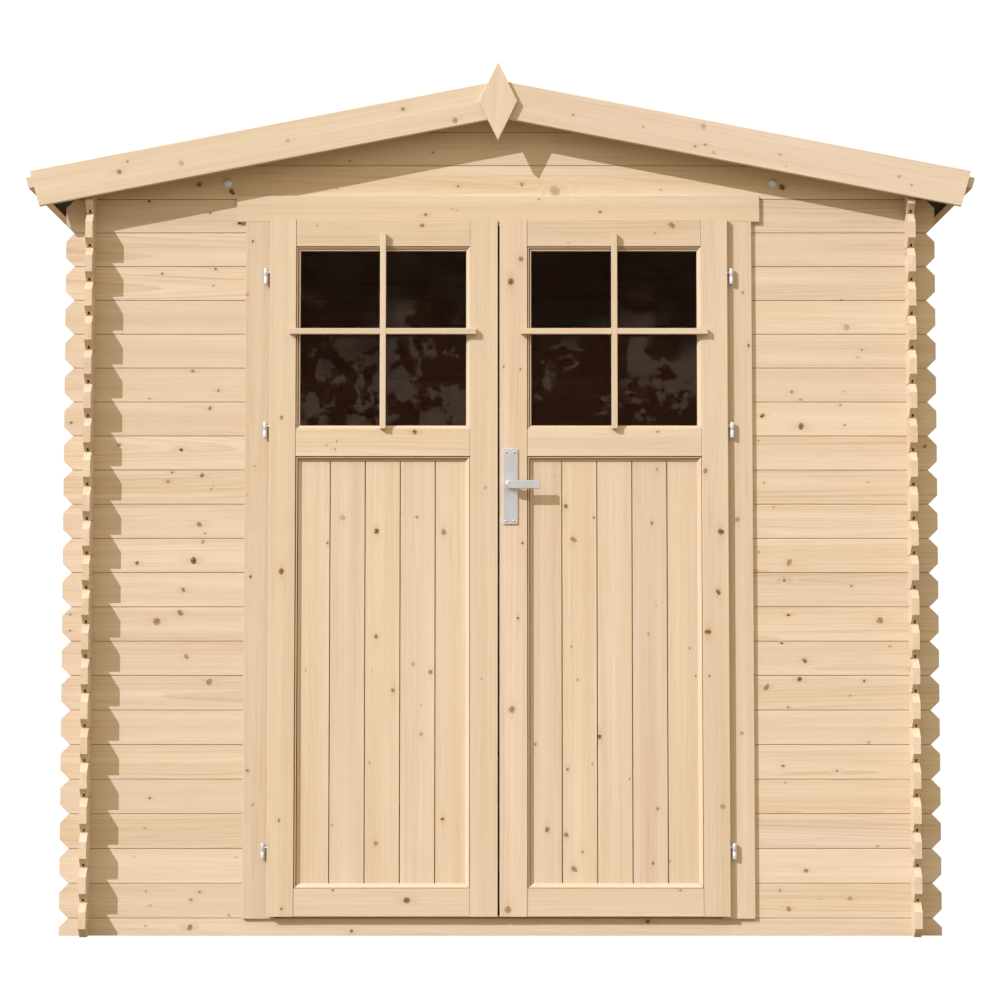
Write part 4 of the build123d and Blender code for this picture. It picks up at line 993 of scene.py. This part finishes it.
def leaf(side):
    sign = -1 if side == "left" else 1
    body = f"{side}_leaf"
    outer = DOOR_X + sign * 603.0
    inner = DOOR_X + sign * 3.0
    depth = LEAF_BACK - LEAF_FACE

    def stile(name, node, lip0, lip1, b0, b1, knots, r=1.5):
        piece = Piece(name)
        # v runs back from the face, w across: the lip is wider than the body behind it
        b = Board((0, LEAF_FACE, 51.5), Z, X, NY, knots, vc=(lip0 + lip1) / 2)
        # two closed lengths that meet at the back of the lip, the body stopping short under the head of the frame
        solid(piece, b, rect(lip0, lip1, -10.0, 0.0, r, (b0 > lip0, b1 < lip1, 1, 1)), 0.0, 1826.5)
        b2 = Board((0, LEAF_FACE, 51.5), Z, X, NY, knots, b.seed, vc=(lip0 + lip1) / 2)
        solid(piece, b2, rect(b0, b1, -depth, -10.02, r, (1, 1, 0, 0)), 0.02, 1804.5)
        piece.build(body, M_DOOR, [node], "door_leaves")

    lo, hi = sorted((outer, outer - sign * 69.5))
    b0, b1 = sorted((outer - sign * 26.0, outer - sign * 69.5))
    stile(f"{side}_leaf_hinge_stile", f"{side}_leaf_outer_stile", lo, hi, b0, b1, KNOTS.get((side, "outer"), ()))
    lo, hi = sorted((inner - sign * 0.45, inner + sign * 72.0))
    b0, b1 = sorted((inner + sign * 2.0, inner + sign * 72.0))
    stile(f"{side}_leaf_lock_stile" if side == "right" else "left_leaf_closing_stile", f"{side}_leaf_meeting_stile", lo, hi, b0, b1,
          KNOTS.get((side, "inner"), ()), 0.8)

    r0, r1 = sorted((outer - sign * 69.5, inner + sign * 72.0))
    piece = Piece(f"{side}_leaf_cross_rails")
    for key, (z0, z1) in (("top", (1805.0, 1878.0)), ("mid", (1250.0, 1321.0)), ("bottom", (51.5, 124.0))):
        b = Board((r0 + 0.8, LEAF_FACE, z0), X, Z, NY, KNOTS.get((side, key), ()), vc=35.0)
        h = z1 - z0
        if key == "top":
            loop = [(1.2, 0), (h - 1.2, 0), (h, -1.2), (h, -10.0), (1856.0 - z0, -10.0), (1856.0 - z0, -depth + 1.2), (1856.0 - z0 - 1.2, -depth),
                    (1.2, -depth), (0, -depth + 1.2), (0, -1.2)]
        else:
            loop = rect(0, h, -depth, 0, 1.2)
        solid(piece, b, loop, 0.0, r1 - r0 - 1.6)
    piece.build(body, M_DOOR, [f"{side}_leaf_rails"], "door_leaves")

    # five upright boards, the outer two trimmed
    piece = Piece(f"{side}_leaf_panel_boards")
    xc = (r0 + r1) / 2
    edges = [r0 + 0.5, xc - 138.0, xc - 46.0, xc + 46.0, xc + 138.0, r1 - 0.5]
    for i, (xa, xb) in enumerate(zip(edges[:-1], edges[1:])):
        first, last = i == 0, i == 4
        g0, g1 = (0.0 if first else 0.1), (0.0 if last else 0.1)
        b = Board((xa, -WY - 13.0, 124.3), Z, X, NY, KNOTS.get((side, "panel", i), ()), vc=(xb - xa) / 2)
        b.jointed = True
        w = xb - xa
        c = 0.8
        loop = []
        loop += [(g0, -12 + c), (g0 + c, -12)] if not first else [(0, -12)]
        loop += [(w - g1 - c, -12), (w - g1, -12 + c)] if not last else [(w, -12)]
        loop += [(w - g1, -7.5), (w - 1.15, -7.5), (w - 1.15, -c), (w - 1.15 - c, 0)] if not last else [(w, 0)]
        loop += [(1.15 + c, 0), (1.15, -c), (1.15, -7.5), (g0, -7.5)] if not first else [(0, 0)]
        solid(piece, b, loop, 0.0, 1125.4)
    piece.build(body, M_DOOR, [f"{side}_leaf_panel"], "door_leaves")

    f = LEAF_FACE
    piece = Piece(f"{side}_leaf_mouldings")
    ring_bead(piece, r0 + 0.05, r1 - 0.05, 124.05, 1249.95,
              [(0.0, f + 10.0), (2.2, f + 10.0), (2.4, f + 1.4), (5.2, f + 2.4), (5.4, f + 10.5), (7.6, f + 10.5), (7.8, f + 5.8), (11.4, f + 9.8), (12.0, -WY - 13.02), (0.0, -WY - 13.02)], 0.6,
              [(0.0, f + 8.0), (1.6, f + 8.0), (1.8, f + 1.4), (5.2, f + 3.4), (5.3, f + 3.5), (7.6, f + 5.4), (7.8, f + 5.8), (11.4, f + 9.8), (12.0, -WY - 13.02), (0.0, -WY - 13.02)])
    ring_bead(piece, r0 + 0.05, r1 - 0.05, 1321.05, 1804.95,
              [(0.0, f + 9.0), (1.9, f + 9.0), (2.1, f + 2.0), (4.8, f + 3.2), (5.0, f + 11.5), (6.8, f + 11.5), (7.0, f + 6.2), (10.2, f + 6.7), (10.6, -WY - 8.02), (0.0, -WY - 8.02)], 0.6,
              [(0.0, f + 1.6), (0.4, f + 1.2), (2.1, f + 1.4), (4.8, f + 3.0), (5.0, f + 3.2), (6.8, f + 5.0), (7.0, f + 5.2), (10.2, f + 7.4), (10.6, -WY - 8.02), (0.0, -WY - 8.02)])
    ring_bead(piece, r0 + 0.05, r1 - 0.05, 124.05, 1249.95,
              [(0.0, LEAF_BACK - 2.0), (6.0, LEAF_BACK - 2.6), (9.0, LEAF_BACK - 6.0), (10.0, -WY - 0.98), (0.0, -WY - 0.98)], 0.5)
    ring_bead(piece, r0 + 0.05, r1 - 0.05, 1321.05, 1804.95,
              [(0.0, LEAF_BACK - 2.0), (6.0, LEAF_BACK - 2.6), (9.0, LEAF_BACK - 6.0), (10.0, -WY - 3.98), (0.0, -WY - 3.98)], 0.5)
    piece.build(body, M_DOOR, (), "door_leaves")

    piece = Piece(f"{side}_leaf_cross_bars")
    b = Board((xc - 7.75, f, 1322.0), Z, X, NY, (), vc=7.75)
    solid(piece, b, rect(0, 15.5, 0.02, 15.0, 1.2), 0.0, 515.5)
    for x0, x1 in ((xc - 245.0, xc - 7.8), (xc + 7.8, xc + 245.0)):
        b = Board((x0, f, 1571.0), X, Z, NY, (), vc=7.75)
        solid(piece, b, rect(0, 15.5, 0.02, 15.0, 1.2), 0.0, x1 - x0)
    piece.build(body, M_DOOR, [f"{side}_leaf_glazing_bars"], "door_leaves")

    piece = Piece(f"{side}_leaf_upper_barrels")
    x = AX[side]
    for z in HINGE_Z:
        turned(piece, (x, AY, z + 0.3), (x, AY, z + 21), [(0.0, 2.65), (0.0, 4.4), (0.2, 5.2), (0.7, 5.5), (18.7, 5.5), (19.6, 5.2), (20.4, 4.2), (20.7, 0.0)], 24)
        turned(piece, (x - sign * 4.8, AY, z + 10.5), (outer - sign * 35.0, AY, z + 10.5), [(0.0, 3.0), (36.0, 3.0), (40.0, 2.8)], 12)
    piece.build(body, M_ZINC, [f"{side}_leaf_hinge_knuckles"], "zinc_steel")


leaf("left")
leaf("right")

for n in ("left_leaf_glass", "right_leaf_glass"):
    nodes[n].data.materials.clear()
    nodes[n].data.materials.append(M_GLASS)
for n in ("right_leaf_lock_faceplate",):
    nodes[n].data.materials.clear()
    nodes[n].data.materials.append(M_ZINC)

# ------------------------------------------------------------------ handle: two plates with domed screws, and the lever with its inner twin
LOCK_X, LEVER_X, LEVER_Z = 26.4, 25.0, 1174.0
plates, screws, grooves, lever = Piece("lever_backplates"), Piece("plate_screws"), Piece("screw_grooves"), Piece("lever_bars")
for face, out in ((LEAF_FACE, -1), (LEAF_BACK, 1)):
    b = Board((0, face, 0), X, Z, (0, out, 0), (), vc=0.0, seed=(0.5, 0.5, 0.5))
    slab(plates, b, rounded(LOCK_X - 19.2, LOCK_X + 19.2, 1070.5, 1269.0, (1.8, 1.8, 1.8, 1.8), 3), [(0, 0.0), (0, 2.8), (0.3, 3.5), (1.0, 4.0)])
    for su in (-1, 1):
        for sv in (-1, 1):
            x, z = LOCK_X + sv * 10.6, 1169.75 + su * 90.4
            turned(screws, (x, face + out * 3.9, z), (x, face + out * 6.0, z), [(0.0, 3.6), (0.4, 3.6), (0.9, 3.2), (1.35, 2.4), (1.6, 1.2), (1.7, 0.0)], 20)
            t = math.radians(40 + 50 * su + 30 * sv)
            # painted shade: each cross slot is a dark bar set into the dome, standing in for the shade of a recess
            for turn in (t, t + math.pi / 2):
                sb = Board((x, face + out * 4.4, z), (math.cos(turn), 0, math.sin(turn)), (-math.sin(turn), 0, math.cos(turn)), (0, out, 0), (), vc=0.0, seed=(0.5, 0.5, 0.5))
                solid(grooves, sb, [(-0.4, 0.0), (0.4, 0.0), (0.4, 1.25), (-0.4, 1.25)], -2.0, 2.0)
    # the bar: round at the spindle, square at the tip, both rims softened
    bar = rounded(LEVER_X - 11.0, LEVER_X + 79.0, LEVER_Z - 11.0, LEVER_Z + 11.0, (1.6, 11.0, 11.0, 1.6), 8)
    b = Board((0, face + out * 4.0, 0), X, Z, (0, out, 0), (), vc=0.0, seed=(0.5, 0.5, 0.5))
    slab(lever, b, bar, [(1.0, 21.0), (0.25, 21.35), (0.0, 22.0), (0.0, 25.6), (0.4, 26.5), (1.3, 27.0)])
    turned(lever, (LEVER_X, face + out * 4.3, LEVER_Z), (LEVER_X, face + out * 26.0, LEVER_Z), [(0.0, 8.6), (0.3, 9.0), (21.5, 9.0)], 32)
plates.build("right_leaf", M_SATIN, ["right_leaf_handle_plates"], "satin_steel")
screws.build("right_leaf", M_SCREW, (), "satin_steel")
grooves.build("right_leaf", M_SLOT_SHADE, (), "satin_steel")
lever.build("lever", M_SATIN, ["lever_handle"], "satin_steel")

# ------------------------------------------------------------------ stage, light, camera
def ground(name, quads):
    me = bpy.data.meshes.new(name)
    me.from_pydata([p for q in quads for p in q], [], [tuple(range(4 * i, 4 * i + 4)) for i in range(len(quads))])
    ob = bpy.data.objects.new(name, me)
    bpy.context.scene.collection.objects.link(ob)
    ob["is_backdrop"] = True
    return ob


def quad(x0, y0, x1, y1, z=-0.0005):
    return [(x0, y0, z), (x1, y0, z), (x1, y1, z), (x0, y1, z)]


FX, FY = (WX - 10) / 1000, (WY - 10) / 1000
floor = ground("floor", [quad(-30, -30, 30, -FY), quad(-30, FY, 30, 30), quad(-30, -FY, -FX, FY), quad(FX, -FY, 30, FY)])
fm = Nodes("pale_floor")
fm.set(Base_Color=(0.26, 0.215, 0.15), Roughness=0.9)
fm.bsdf.inputs["Specular IOR Level"].default_value = 0.0
glow = fm.nt.nodes.new("ShaderNodeEmission")
glow.inputs[0].default_value = (1.0, 1.0, 1.0, 1.0)
glow.inputs[1].default_value = 1.05
lit = fm.nt.nodes.new("ShaderNodeLightPath")
choose = fm.nt.nodes.new("ShaderNodeMixShader")
fm.nt.links.new(lit.outputs["Is Camera Ray"], choose.inputs[0])
fm.nt.links.new(fm.bsdf.outputs[0], choose.inputs[1])
fm.nt.links.new(glow.outputs[0], choose.inputs[2])
fm.nt.links.new(choose.outputs[0], fm.out.inputs[0])
floor.data.materials.append(fm.mat)
inner_ground = ground("inner_ground", [quad(-FX, -FY, FX, FY)])
gm = Nodes("inner_floor")
gm.set(Base_Color=(0.10, 0.085, 0.07), Roughness=0.9)
gm.bsdf.inputs["Specular IOR Level"].default_value = 0.0
inner_ground.data.materials.append(gm.mat)

world = bpy.data.worlds.new("studio")
bpy.context.scene.world = world
world.use_nodes = True
wn = world.node_tree
wn.nodes.clear()
wout = wn.nodes.new("ShaderNodeOutputWorld")
coord = wn.nodes.new("ShaderNodeTexCoord")
parts = wn.nodes.new("ShaderNodeSeparateXYZ")
wn.links.new(coord.outputs["Generated"], parts.inputs[0])
ramp = wn.nodes.new("ShaderNodeMapRange")
ramp.inputs["From Min"].default_value, ramp.inputs["From Max"].default_value = -0.5, 0.9
ramp.inputs["To Min"].default_value, ramp.inputs["To Max"].default_value = 0.27, 1.41
wn.links.new(parts.outputs[2], ramp.inputs["Value"])
soft = wn.nodes.new("ShaderNodeBackground")
soft.inputs[0].default_value = (0.96, 0.875, 0.655, 1.0)
wn.links.new(ramp.outputs[0], soft.inputs[1])
# what polished things mirror: a bright studio, with a dark quarter low in front of the panes, broken by paler patches


def wmath(op, a, b=None):
    n = wn.nodes.new("ShaderNodeMath")
    n.operation = op
    for i, x in enumerate((a, b)):
        if isinstance(x, bpy.types.NodeSocket):
            wn.links.new(x, n.inputs[i])
        elif x is not None:
            n.inputs[i].default_value = x
    return n.outputs[0]


def wstep(x, lo, hi):
    n = wn.nodes.new("ShaderNodeMapRange")
    n.interpolation_type = "SMOOTHSTEP"
    wn.links.new(x, n.inputs["Value"])
    n.inputs["From Min"].default_value, n.inputs["From Max"].default_value = lo, hi
    return n.outputs[0]


def wnoise(scale, detail, rough):
    n = wn.nodes.new("ShaderNodeTexNoise")
    n.inputs["Scale"].default_value, n.inputs["Detail"].default_value, n.inputs["Roughness"].default_value = scale, detail, rough
    wn.links.new(coord.outputs["Generated"], n.inputs["Vector"])
    return n.outputs[0]


ahead = wmath("MAXIMUM", wmath("MULTIPLY", parts.outputs[1], -1.0), 0.001)
across = wmath("DIVIDE", wmath("ABSOLUTE", parts.outputs[0]), ahead)
rise = wmath("DIVIDE", parts.outputs[2], ahead)
dim = wmath("MULTIPLY", wmath("SUBTRACT", 1.0, wstep(across, 0.12, 0.17)), wmath("MULTIPLY", wstep(rise, 0.05, 0.075), wmath("SUBTRACT", 1.0, wstep(rise, 0.19, 0.24))))
low = wmath("SUBTRACT", 1.0, wstep(wmath("ADD", rise, wmath("MULTIPLY", wmath("SUBTRACT", wnoise(38.0, 2.0, 0.5), 0.5), 0.07)), 0.112, 0.140))
aside = wmath("DIVIDE", parts.outputs[0], ahead)
planted = wmath("MAXIMUM", wmath("SUBTRACT", 1.0, wstep(aside, -0.016, -0.006)), wstep(aside, 0.046, 0.056))
leaves = wmath("ADD", wnoise(72.0, 7.0, 0.68), wmath("MULTIPLY", wmath("SUBTRACT", planted, 1.0), 0.09))
open_sky = wmath("MULTIPLY", wstep(leaves, 0.492, 0.500), wmath("ADD", 0.10, wmath("MULTIPLY", low, 0.90)))


def wmix(fac, a, b):
    n = wn.nodes.new("ShaderNodeMix")
    n.data_type = "RGBA"
    wn.links.new(fac, n.inputs[0])
    for socket, x in ((n.inputs[6], a), (n.inputs[7], b)):
        if isinstance(x, bpy.types.NodeSocket):
            wn.links.new(x, socket)
        else:
            socket.default_value = (*x, 1.0)
    return n.outputs[2]


dark_side = wmix(open_sky, wmix(low, (0.05, 0.016, 0.010), (0.20, 0.050, 0.026)), (0.70, 0.48, 0.37))
mirror = wn.nodes.new("ShaderNodeBackground")
wn.links.new(wmix(dim, (1.0, 0.985, 0.975), dark_side), mirror.inputs[0])
mirror.inputs[1].default_value = 1.0
seen = wn.nodes.new("ShaderNodeBackground")
seen.inputs[0].default_value = (1.0, 1.0, 1.0, 1.0)
seen.inputs[1].default_value = 1.05
path = wn.nodes.new("ShaderNodeLightPath")
pick = wn.nodes.new("ShaderNodeMixShader")
pick2 = wn.nodes.new("ShaderNodeMixShader")
wn.links.new(path.outputs["Is Glossy Ray"], pick2.inputs[0])
wn.links.new(soft.outputs[0], pick2.inputs[1])
wn.links.new(mirror.outputs[0], pick2.inputs[2])
wn.links.new(path.outputs["Is Camera Ray"], pick.inputs[0])
wn.links.new(pick2.outputs[0], pick.inputs[1])
wn.links.new(seen.outputs[0], pick.inputs[2])
wn.links.new(pick.outputs[0], wout.inputs[0])
bpy.context.scene.view_settings.view_transform = "Standard"

sun = bpy.data.lights.new("sun", "SUN")
sun.energy = 3.40
sun.angle = math.radians(0.5)
sun.color = (1.010, 1.018, 1.109)
sun_o = bpy.data.objects.new("sun", sun)
bpy.context.scene.collection.objects.link(sun_o)
sun_o.rotation_euler = Vector((1.235, 1.0, -0.97)).to_track_quat("-Z", "Y").to_euler()

cam = bpy.data.cameras.new("camera")
cam.lens = 89.08
cam.sensor_width = 36.0
cam.clip_end = 200.0
cam_o = bpy.data.objects.new("camera", cam)
bpy.context.scene.collection.objects.link(cam_o)
cam_o.location = (-0.00098, -(WY + 6500.0) / 1000.0, 0.7343)
cam_o.rotation_euler = (math.pi / 2 + 0.0617716, 0.0, 0.0)
bpy.context.scene.camera = cam_o

bpy.context.view_layer.update()
{"cad": cad_box, "visual": plain(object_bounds())}
